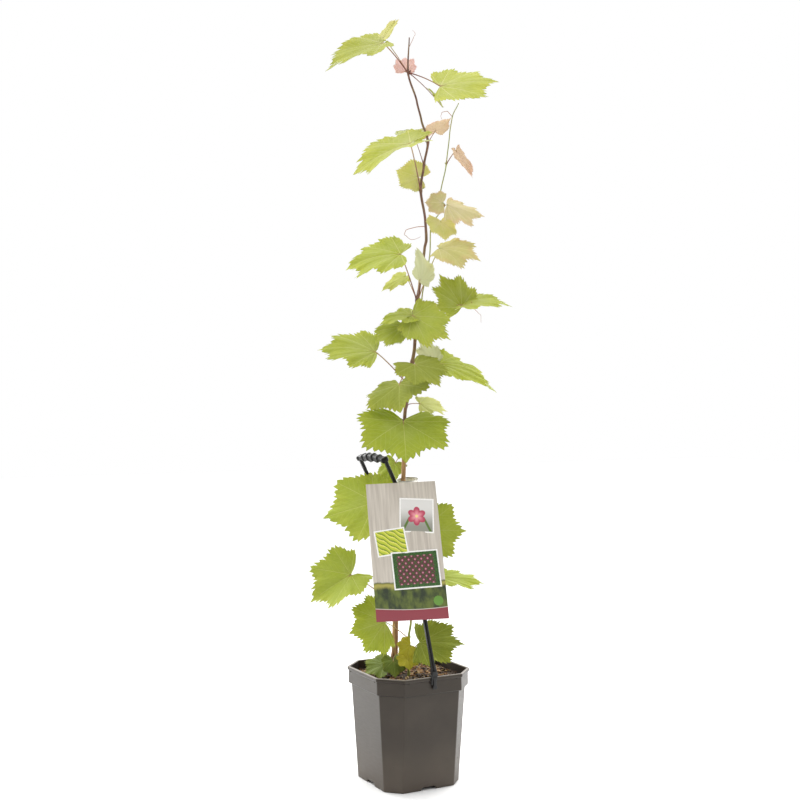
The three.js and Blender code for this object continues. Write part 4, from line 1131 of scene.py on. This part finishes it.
def wire_veins(w, given):
    """Main veins run from the stalk to each lobe tip; side veins leave them at a slant; a fine net
    lies between. The blade is quilted between side veins."""
    u, v, _ = w.split(given["Place"])
    x, y = u * 2 - 1, abs(v * 2 - 1)
    far, angle = (x * x + y * y).math("SQRT"), y.math("ARCTAN2", x)
    off = angle
    for before, after in zip(VEIN_ANGLES, VEIN_ANGLES[1:]):
        past = angle.math("GREATER_THAN", math.radians((before + after) / 2))
        off = off - past * math.radians(after - before)
    along, beside = far * off.math("COSINE"), abs(far * off.math("SINE"))
    main = (beside / (along * -0.008 + 0.0135)).ease(1.0, 0.35)
    wander = w.noise(given["Place"], 9.0, 1.0) * 0.08 - 0.04
    slant = beside * -0.95 + along + wander
    cell = (slant * 8.6 + off.math("GREATER_THAN", 0.0) * 0.5).math("FRACT")
    ridge = abs(cell - 0.5)
    side = ridge.ease(0.085, 0.0) * along.ease(0.02, 0.1)
    net = w.voronoi(given["Place"], 46.0, "DISTANCE_TO_EDGE").ease(0.16, 0.02)
    quilt = (ridge * (2 * math.pi)).math("SINE")
    return main, side, net, quilt * -0.9 - main * 0.8 - net * 0.08


def wire_blade(w, given):
    """Leaf colour: a pale bloom round the stalk and along the veins, yellower at the margin, darker
    mottling, lighter veins, and a paler underside on which the veins stand out."""
    veins = w.use(VEINS, Place=w.uv())
    rim, side, tone = w.field("rim"), w.field("side"), w.field("tone")
    mottle, fleck = w.noise(w.place(), 34.0, 4.0), w.noise(w.place(), 160.0, 2.0)
    bloom = rim.ease(0.1, 0.95, 1.0, 0.15) * mottle.ease(0.3, 0.62)
    margin = rim.ease(0.62, 1.0) * mottle.ease(0.62, 0.42)
    face = w.mix(bloom * 0.75, given["Face"], given["Bloom"])
    face = w.mix(margin * 0.6, face, given["Margin"])
    face = w.mix(fleck.ease(0.42, 0.68) * 0.16, face, given["Shade"])
    face = w.mix(veins["Net"] * 0.12, face, given["Shade"])
    face = w.mix((veins["Side"] * 0.3).math("MAXIMUM", veins["Main"] * 0.6), face, given["Vein"])
    under = w.mix(mottle.ease(0.35, 0.65) * 0.35, given["Under"], given["Bloom"])
    under = w.mix((veins["Side"] * 0.45).math("MAXIMUM", veins["Main"] * 0.8), under, given["Vein"])
    shaded = {0: w.mix(side, face, under), "Scale": tone * 0.22 + 0.88}
    colour = w.out(w.node("VectorMath", shaded, operation="SCALE"))
    return colour, mottle * 0.16 + given["Rough"], fleck * 0.1 + veins["Height"]


def wire_bark(w, given):
    """Long fibres: noise squeezed across the stem and drawn out along it, in two sizes, with dark
    cracks and broad patches."""
    fibres = w.noise(w.stretched(w.place(), (1.0, 1.0, 0.07)), given["Scale"], 5.0, 0.6)
    fine = w.noise(w.stretched(w.place(), (1.0, 1.0, 0.12)), given["Scale"] * 3.1)
    patch = w.noise(w.place(), 38.0, 2.0)
    colour = w.mix(fibres.ease(0.36, 0.66), given["Dark"], given["Light"])
    colour = w.mix(patch.ease(0.45, 0.7) * 0.5, colour, given["Patch"])
    colour = w.mix(fine.ease(0.5, 0.72) * 0.35, colour, given["Dark"])
    return colour, fine * 0.25 + 0.5, fine * 0.5 + fibres


def wire_moulded(w, given):
    """Moulded plastic: a fine grain, faint scuffs drawn out level, pale dust on faces that look up,
    and the same pale colour low down as painted bounce light from the floor."""
    grain = w.noise(w.place(), 1500.0, 2.0)
    scuff = w.noise(w.stretched(w.place(), (1.0, 1.0, 5.0)), 60.0, 4.0, 0.65)
    upward = w.split(w.out(w.node("NewGeometry"), "Normal"))[2].ease(0.3, 0.95)
    # Pale dust on faces that look up, and painted bounce light from the floor below 11 cm.
    settled_dust_and_bounce = upward * 0.7 + w.split(w.place())[2].ease(0.11, 0.0) * 1.2
    dust_and_bounce = (settled_dust_and_bounce + w.noise(w.place(), 14.0).ease(0.4, 0.8) * 0.35) * given["Dust"]
    colour = w.mix(scuff.ease(0.55, 0.75) * 0.3, given["Colour"], given["Worn"])
    colour = w.mix(dust_and_bounce, colour, given["Dusty"])
    return colour, scuff * 0.2 + given["Rough"] + dust_and_bounce * 0.3, scuff * 0.4 + grain


LEAF_COLOURS = ("Face", "Bloom", "Margin", "Shade", "Vein", "Under")
FINISHED = dict(Color="Color", Roughness="Float", Height="Float")
VEINS = shader_group(
    "blade_veins", dict(Place="Vector"),
    dict(Main="Float", Side="Float", Net="Float", Height="Float"), wire_veins)
BLADE = shader_group(
    "blade_finish", dict(dict.fromkeys(LEAF_COLOURS, "Color"), Rough="Float"), FINISHED, wire_blade)
BARK = shader_group(
    "bark_fibres", dict(Light="Color", Dark="Color", Patch="Color", Scale="Float"), FINISHED, wire_bark)
MOULDED = shader_group(
    "moulded_plastic", dict(Colour="Color", Worn="Color", Dusty="Color", Dust="Float", Rough="Float"),
    FINISHED, wire_moulded)


def finish(name, wire, bump, depth=0.001, **constants):
    """A material: wire(wiring) returns its colour, its roughness and the height of its bumps."""
    made = bpy.data.materials.new(name)
    made.use_nodes = True
    shader = made.node_tree.nodes["Principled BSDF"]
    wiring = Wiring(made.node_tree)
    colour, rough, height = wire(wiring)
    wiring.feed(shader.inputs["Base Color"], colour)
    wiring.feed(shader.inputs["Roughness"], rough)
    for socket, value in constants.items():
        wiring.feed(shader.inputs[socket.replace("_", " ")], value)
    if height is not None:
        bumped = wiring.node("Bump", dict(Strength=bump, Distance=depth, Height=height))
        wiring.feed(shader.inputs["Normal"], wiring.out(bumped))
    return made


# ---- finishes ------------------------------------------------------------------------------------

# Leaf tints: face, bloom, margin, shade, vein and underside.
TINTS = dict(
    mid=("#a5b83e", "#b2c370", "#bccb50", "#83982c", "#d0da90", "#aec07e"),
    lime=("#cedc74", "#d8e29c", "#dfe084", "#b4c454", "#e8eeb4", "#d8e0ac"),
    olive=("#c6ca80", "#d0d29c", "#d8c290", "#aaae5e", "#e2e4ba", "#d3d6a8"),
    pale=("#c6d285", "#d3dda8", "#d3d986", "#abbb6c", "#e4eac4", "#cddaac"),
    dark=("#748a3c", "#899c5c", "#8f9c38", "#546a2a", "#b4c284", "#98ab74"),
    fresh=("#b2c64c", "#bcce74", "#c8d45e", "#90a63a", "#d7e192", "#c0d08c"),
    deep=("#8a9a36", "#98a650", "#a2ae40", "#6e8026", "#bcc876", "#a2b46e"),
    gold=("#c2be38", "#cac85c", "#d2c850", "#a09c2c", "#dedb88", "#c8c87c"),
    young=("#e4d6a0", "#ecdfb4", "#e4bc96", "#d0bb7e", "#f2e8c6", "#ecdcb6"),
    pink=("#f6dcc0", "#f9e6d0", "#f2c6a6", "#ecc7a0", "#fbf1e2", "#f8e4d0"),
)

# What each level of the plant keeps of red, green and blue: leaves grow deeper down the vine,
# and the paler crown and darker low leaves are partly painted light and shade.
LEVEL_SHADES = dict(crown=(1.08, 0.92, 1.15), middle=(0.98, 0.88, 0.84), low=(0.82, 0.77, 0.57))


def grouped(group, **inputs):
    """A wire function that gives the colour, the roughness and the height that a group puts out."""

    def wire(w):
        made = w.use(group, **inputs)
        return made["Color"], made["Roughness"], made["Height"]

    return wire


def leaf_finish(tint, level):
    """One tint of leaf at one level of the plant."""
    shade = (*LEVEL_SHADES[level], 1)
    colours = {name: [min(1, kept * part) for kept, part in zip(paint(code), shade)]
               for name, code in zip(LEAF_COLOURS, TINTS[tint])}
    wire = grouped(BLADE, Rough=0.55, **colours)
    return finish(f"leaf_{tint}_{level}", wire, 0.3, 0.0005, Specular_IOR_Level=0.2)


def bark_finish(name, light, dark, patch, scale, bump):
    """Bark or cane, with fibres of one size."""
    return finish(name, grouped(BARK, Light=light, Dark=dark, Patch=patch, Scale=scale), bump, 0.0008)


def moulded_finish(name, colour, worn, dust_and_bounce_colour, dust_and_bounce, rough, marks=None, bump=0.06, depth=0.0004, **constants):
    """Moulded plastic of one colour, with dust and painted bounce light low down; marks(wiring,
    colour) may go over it with painted shade and highlights of its own.
    """
    plain = grouped(MOULDED, Colour=colour, Worn=worn, Dusty=dust_and_bounce_colour, Dust=dust_and_bounce, Rough=rough)

    def wire(w):
        shown, roughness, height = plain(w)
        return marks(w, shown) if marks else shown, roughness, height

    return finish(name, wire, bump, depth, **constants)


def pot_painted_shade_and_highlight(w, colour):
    """A painted shadow line on the wall just under the collar, and a painted highlight along the top edge of
    the lip.
    """
    height = w.split(w.place())[2]
    # Painted shadow: a dark band on the wall just under the collar.
    rising = height.ease((WAIST_Z - 4) * MM, WAIST_Z * MM, 0.0, 0.6)
    below = height.ease((WAIST_Z + 1.3) * MM, (WAIST_Z + 0.9) * MM)
    # Painted highlight: the top edge of the lip is paler.
    lip_highlight = height.ease((POT_HEIGHT - 1.9) * MM, (POT_HEIGHT - 0.7) * MM, 0.0, 0.4)
    return w.mix(lip_highlight, w.mix(rising * below, colour, "#0b0908"), "#a1988d")


def grip_painted_pocket_shade(w, colour):
    """The grip's pockets are painted blacker than the ribs between them, as painted shade in the pockets."""
    return w.mix(w.field("pocket").ease(0.05, 0.6), colour, "#040404")


def stalk_finish(name, foot, tip, patch):
    """Leaf stalks: one colour at the foot that goes over to another at the blade, with streaks."""

    def wire(w):
        streak = w.noise(w.stretched(w.place(), (1.0, 1.0, 0.2)), 260.0)
        colour = w.mix((streak * 0.5 + w.field("along")).ease(0.45, 1.05), foot, tip)
        return w.mix(streak.ease(0.5, 0.7) * 0.45, colour, patch), streak * 0.2 + 0.35, streak

    return finish(name, wire, 0.15, 0.0005)


def compost_finish(name, dark, light, scale):
    """Crumbs: dark and light grains in cells and noise."""

    def wire(w):
        grain = w.noise(w.place(), scale, 5.0, 0.7)
        share = (w.voronoi(w.place(), scale * 1.7) * 0.4 + grain).ease(0.5, 0.95)
        return w.mix(share, dark, light), grain * 0.2 + 0.72, grain

    return finish(name, wire, 0.6, 0.002)


def wire_card(w):
    """The card's print: pale planks above, a hazy green field below with a light streak along its
    top, and a plain dark red band at the foot."""
    u, v, _ = w.split(w.uv())
    planks = w.noise(w.stretched(w.uv(), (9.0, 0.8, 1.0)), 3.0, 4.0)
    cloud = w.noise(w.uv(), 7.0, 5.0, 0.6)
    pale = w.mix(planks.ease(0.3, 0.7), "#b2a99d", "#ccc4b8")
    green = w.mix(cloud.ease(0.36, 0.64), "#1f2c14", "#5d6a26")
    edge = cloud * 0.05 + v
    green = w.mix(edge.ease(0.25, 0.285) * edge.ease(0.31, 0.285), green, "#a89f4e")
    colour = w.mix(edge.ease(0.3, 0.315), green, pale)
    rise = (u * 2.6).math("SINE") * 0.018 + v
    colour = w.mix(rise.ease(0.097, 0.093), colour, "#8a3540")
    colour = w.mix(rise.ease(0.1, 0.097) * rise.ease(0.093, 0.096), colour, "#d9cfc6")
    return colour, planks * 0.08 + 0.3, planks


def wire_strap(w):
    """Milky plastic with greyer rolled edges and faint streaks round the loop."""
    streak = w.noise(w.stretched(w.place(), (1.0, 1.0, 12.0)), 40.0)
    colour = w.mix(w.field("edge").ease(0.4, 1.0) * 0.7, "#d6d3cc", "#7c7a72")
    return w.mix(streak.ease(0.45, 0.7) * 0.3, colour, "#f0eee9"), streak * 0.15 + 0.18, streak


def picture_finish(name, draw):
    """A picture printed on coated card; draw(wiring, u, v, grain) gives its colour."""

    def wire(w):
        u, v, _ = w.split(w.uv())
        grain = w.noise(w.uv(), 40.0)
        return draw(w, u, v, grain), grain * 0.1 + 0.28, grain

    return finish(name, wire, 0.02, 0.0003)


def draw_rosette(w, u, v, grain):
    """A plain flower of six round petals on a pale ground, with a green leaf shape on either side."""
    x, y = u - 0.5, v - 0.48
    petal = abs((y.math("ARCTAN2", x) * 3).math("SINE")) * 0.1 + 0.2
    share = (x * x + y * y).math("SQRT") / petal
    ground = w.mix(v.ease(0.1, 0.8), "#8f8f84", "#d8d6d2")
    sprig = abs(abs(x) - (y * -0.5 + 0.2))
    ground = w.mix(sprig.ease(0.05, 0.03) * v.ease(0.5, 0.4), ground, "#56712f")
    bloom = w.mix(share.ease(0.1, 0.95), "#e79aa4", "#b23a55")
    bloom = w.mix(share.ease(0.2, 0.16), bloom, "#e9d28a")
    return w.mix(share.ease(1.03, 0.97), ground, bloom)


def draw_stripes(w, u, v, grain):
    """Wavy slanting stripes in yellow and green."""
    wave = (u * 17).math("SINE") * 0.03 + v
    slant = ((wave + u) * 4.5 + grain * 0.5).math("FRACT")
    colour = w.mix(slant.ease(0.1, 0.45), "#66831f", "#b9c332")
    return w.mix(slant.ease(0.6, 0.95), colour, "#e2dc6c")


def draw_lattice(w, u, v, grain):
    """Rows of dark red diamonds, each lighter in its middle, on a leafy green ground."""
    across, up = u * 7, v * 5
    rising, falling = (abs(part.math("FRACT") - 0.5) for part in (across + up, across - up))
    near, border = rising.math("MAXIMUM", falling), abs(u - 0.5).math("MAXIMUM", abs(v - 0.5))
    ground = w.mix(grain.ease(0.4, 0.6), "#12300f", "#3c6a20")
    gem = w.mix(near.ease(0.02, 0.26), "#d4929b", "#5c1c30")
    return w.mix(near.ease(0.44, 0.4) * border.ease(0.42, 0.4), ground, gem)


def draw_frame(w, u, v, grain):
    """The plain white of the frames, hardly mottled."""
    return w.mix(grain.ease(0.4, 0.6), "#e9e7e2", "#f6f5f2")


def draw_dot(w, u, v, grain):
    """Plain green, a little mottled."""
    return w.mix(grain.ease(0.35, 0.65), "#4f7f2e", "#6f9a3a")


# ---- the plant -----------------------------------------------------------------------------------


def add_pot():
    # The pot's finish has painted bounce light low down, a painted shadow under the collar and a painted
    # highlight on the lip.
    shell = moulded_finish("pot_plastic", "#211a15", "#30271f", "#86796b", 0.15, 0.3, pot_painted_shade_and_highlight,
                           Specular_IOR_Level=0.6, Specular_Tint="#fdf5ea")
    # The compost's and the chips' own browns are darkened further as painted shade inside the pot.
    crumbs = compost_finish("compost_crumbs", "#20140b", "#4f3620", 220.0)
    put("pot_shell", pot_shell(), shell, ["pot"], crease=35)
    put("pot_details", pot_details(), shell, crease=35)
    put("compost_bed", compost_bed(), crumbs, ["soil"])
    for name, seed, size, dark, light in (
            ("chips_dark", 21, (6, 3.2, 1.1), "#2c1c10", "#4c321e"),
            ("chips_orange", 22, (5.4, 2.4, 1.0), "#6c4521", "#966c3b"),
            ("chips_pale", 23, (4.4, 1.8, 0.8), "#96774b", "#b99d71")):
        put(name, bark_chips(seed, size), compost_finish(name, dark, light, 300.0), crease=30)


def add_stems():
    bark = bark_finish("trunk_bark", "#c39a6c", "#7c5538", "#a67c50", 420.0, 0.5)
    cane = bark_finish("cane_skin", "#8a6556", "#5b3f36", "#8f7a4a", 700.0, 0.2)
    shoot = bark_finish("shoot_skin", "#a9ad5c", "#7f8a3f", "#b09a5f", 800.0, 0.15)
    curl = stalk_finish("tendril_skin", "#a9663f", "#b98a55", "#8a8a45")
    canes = ["cane_lower", "cane_upper"]
    put("trunk_stem", stem(["trunk"], 36, 0.22, 0.05, (5, 2)), bark, ["trunk"], turned=True)
    put("cane_stem", stem(canes, 24, 0.38, 0.02, (2, 0)), cane, canes, turned=True)
    put("side_stem", stem(["side_shoot"], 14, 0.5, 0.01), shoot, ["side_shoot"], turned=True)
    put("basal_stem", stem(["basal_shoot"], 16, 0.4, 0.015, (4, 0)), shoot, ["basal_shoot"],
        turned=True)
    put("buds_cane", buds([*canes, "trunk"], 5.5, 1.7), cane, turned=True)
    put("buds_shoot", buds(["side_shoot", "basal_shoot"], 4, 1.2), shoot, turned=True)
    put("tendrils", join([tendril(*row) for row in TENDRILS]), curl, turned=True)


def add_leaves():
    blades, stalks = grow_foliage()
    for (tint, level), (bodies, nodes) in sorted(blades.items()):
        put(f"blades_{tint}_{level}", join(bodies), leaf_finish(tint, level), nodes, turned=True)
    red = stalk_finish("stalk_red", "#7d4a3f", "#a98a58", "#9a5c4a")
    green = stalk_finish("stalk_green", "#a8743f", "#9fa850", "#8f9a3f")
    for shade, material in (("red", red), ("green", green)):
        put(f"stalks_{shade}", join(stalks[shade]), material, turned=True)


def add_handle():
    black = moulded_finish("handle_plastic", "#0f0f10", "#2c2a29", "#6b655e", 0.12, 0.22)
    # The grip's pockets get painted shade.
    ribbed = moulded_finish("grip_plastic", "#0e0d0d", "#1f1d1c", "#4b463f", 0.04, 0.3, grip_painted_pocket_shade,
                            bump=0.03, depth=0.0003, Specular_IOR_Level=0.2)
    put("grip_bar", grip(), ribbed, ["handle_grip"])
    for side, sign in (("front", -1), ("back", 1)):
        put(f"leg_channel_{side}", leg(sign), black, [f"handle_leg_{side}"], crease=30)
        put(f"clip_hook_{side}", clip(sign), black, [f"handle_clip_{side}"], crease=40)


def add_label():
    face = LABEL.thick / 2
    sheet = plate((0, 0), (LABEL.foot_width, LABEL.height), 0, -face, LABEL.thick, 0.6)
    put("card_sheet", sheet, finish("card_print", wire_card, 0.02, 0.0003), ["label_card"],
        turned=True, crease=40)
    frames = [plate(middle, size, tilt, face - 0.05 + LAYER * layer, PICTURE_THICK, 0.4)
              for layer, (middle, size, tilt) in enumerate(PICTURES.values())]
    white = picture_finish("frame_white", draw_frame)
    put("card_frames", join(frames), white, turned=True, crease=40)
    draws = dict(rosette=draw_rosette, stripes=draw_stripes, lattice=draw_lattice)
    for layer, (name, (middle, size, tilt)) in enumerate(PICTURES.items()):
        inner = [side - PICTURE_MARGIN for side in size]
        body = plate(middle, inner, tilt, face + 0.05 + LAYER * layer, PICTURE_THICK, 0.3)
        printed = picture_finish(f"print_{name}", draws[name])
        put(f"card_{name}", body, printed, turned=True, crease=40)
    dot = plate((48, -88), (17, 17), 0, face, 0.3, 4.25)
    put("card_dot", dot, picture_finish("print_dot", draw_dot), turned=True, crease=40)
    put("strap_band", strap(), finish("strap_plastic", wire_strap, 0.03, 0.0003), ["label_strap"],
        turned=True, crease=50)


# ---- floor, light and camera ---------------------------------------------------------------------


def wire_paper(w):
    """White paper without bumps, hardly mottled."""
    return w.mix(w.noise(w.place(), 0.7, 2.0), (0.82, 0.82, 0.815, 1), (0.85, 0.85, 0.845, 1)), 0.9, None


def add_floor():
    size = 9.0
    mesh = bpy.data.meshes.new("floor")
    corners = [(-size, -size, 0), (size, -size, 0), (size, size, 0), (-size, size, 0)]
    mesh.from_pydata(corners, [], [(0, 1, 2, 3)])
    floor = bpy.data.objects.new("floor", mesh)
    bpy.context.scene.collection.objects.link(floor)
    mesh.materials.append(finish("floor_paper", wire_paper, 0))


def view_point(right, ahead, height):
    """A place given to the right of the camera's line through the plant, ahead along it, and up."""
    x, y = swing(right, ahead, -math.radians(CAMERA.azimuth))
    return float(x), float(y), height


def softbox(name, place, aim, size, power):
    """A large soft lamp at a place that looks at a point."""
    lamp = bpy.data.lights.new(name, "AREA")
    lamp.shape, lamp.size, lamp.size_y, lamp.energy = "RECTANGLE", *size, power
    holder = bpy.data.objects.new(name, lamp)
    bpy.context.scene.collection.objects.link(holder)
    look = unit(np.array(aim, float) - np.array(place, float))
    side = unit(np.cross(look, [0, 0, 1]))
    axes = np.array([side, np.cross(side, look), -look]).T
    holder.matrix_world = Matrix.LocRotScale(place, Matrix(axes.tolist()), (1, 1, 1))


def add_light():
    """Soft light all round that is strongest behind the plant and overhead, and weaker on the
    camera's side, so that the pot's sides shine and its front stays dark."""
    for side, name in ((-1, "left"), (1, "right")):
        floor_place, floor_aim = view_point(side * 0.7, 0.7, 0.7), view_point(side * 0.45, 0.5, 0)
        softbox(f"{name}_box", view_point(side * 1.8, 1.3, 0.8), (0, 0, 0.35), (1.2, 2.2), 12)
        softbox(f"{name}_floor_box", floor_place, floor_aim, (0.8, 0.8), 9)
    softbox("crown_box", view_point(-0.9, -0.9, 2.3), (0, 0, 1.2), (1.6, 1.6), 8)
    world = bpy.data.worlds.new("studio")
    world.use_nodes = True
    bpy.context.scene.world = world
    w = Wiring(world.node_tree)
    background = world.node_tree.nodes["Background"]
    towards = w.out(w.node("TexCoord"), "Generated")
    aligned = w.node("VectorMath", {0: towards, 1: view_point(0, 1, 0)}, operation="DOT_PRODUCT")
    behind = w.out(aligned, "Value").ease(-0.9, 0.9, 0.3, 1.3)
    strength = behind + w.split(towards)[2].ease(0.0, 1.0, 0.0, 0.85)
    seen = w.out(w.node("LightPath"), "Is Camera Ray")
    w.feed(background.inputs["Color"], (1, 1, 1, 1))
    w.feed(background.inputs["Strength"], seen * (1 - strength) + strength)


def add_camera():
    data = bpy.data.cameras.new("camera")
    data.lens = CAMERA.lens
    camera = bpy.data.objects.new("camera", data)
    camera.location = view_point(CAMERA.sideways, -CAMERA.distance, CAMERA.height)
    camera.rotation_euler = (math.pi / 2, 0, -math.radians(CAMERA.azimuth))
    bpy.context.scene.collection.objects.link(camera)
    bpy.context.scene.camera = camera


bpy.context.scene.view_settings.view_transform = "Standard"
add_camera()
add_floor()
add_light()
add_pot()
add_stems()
add_leaves()
add_handle()
add_label()

bpy.context.view_layer.update()
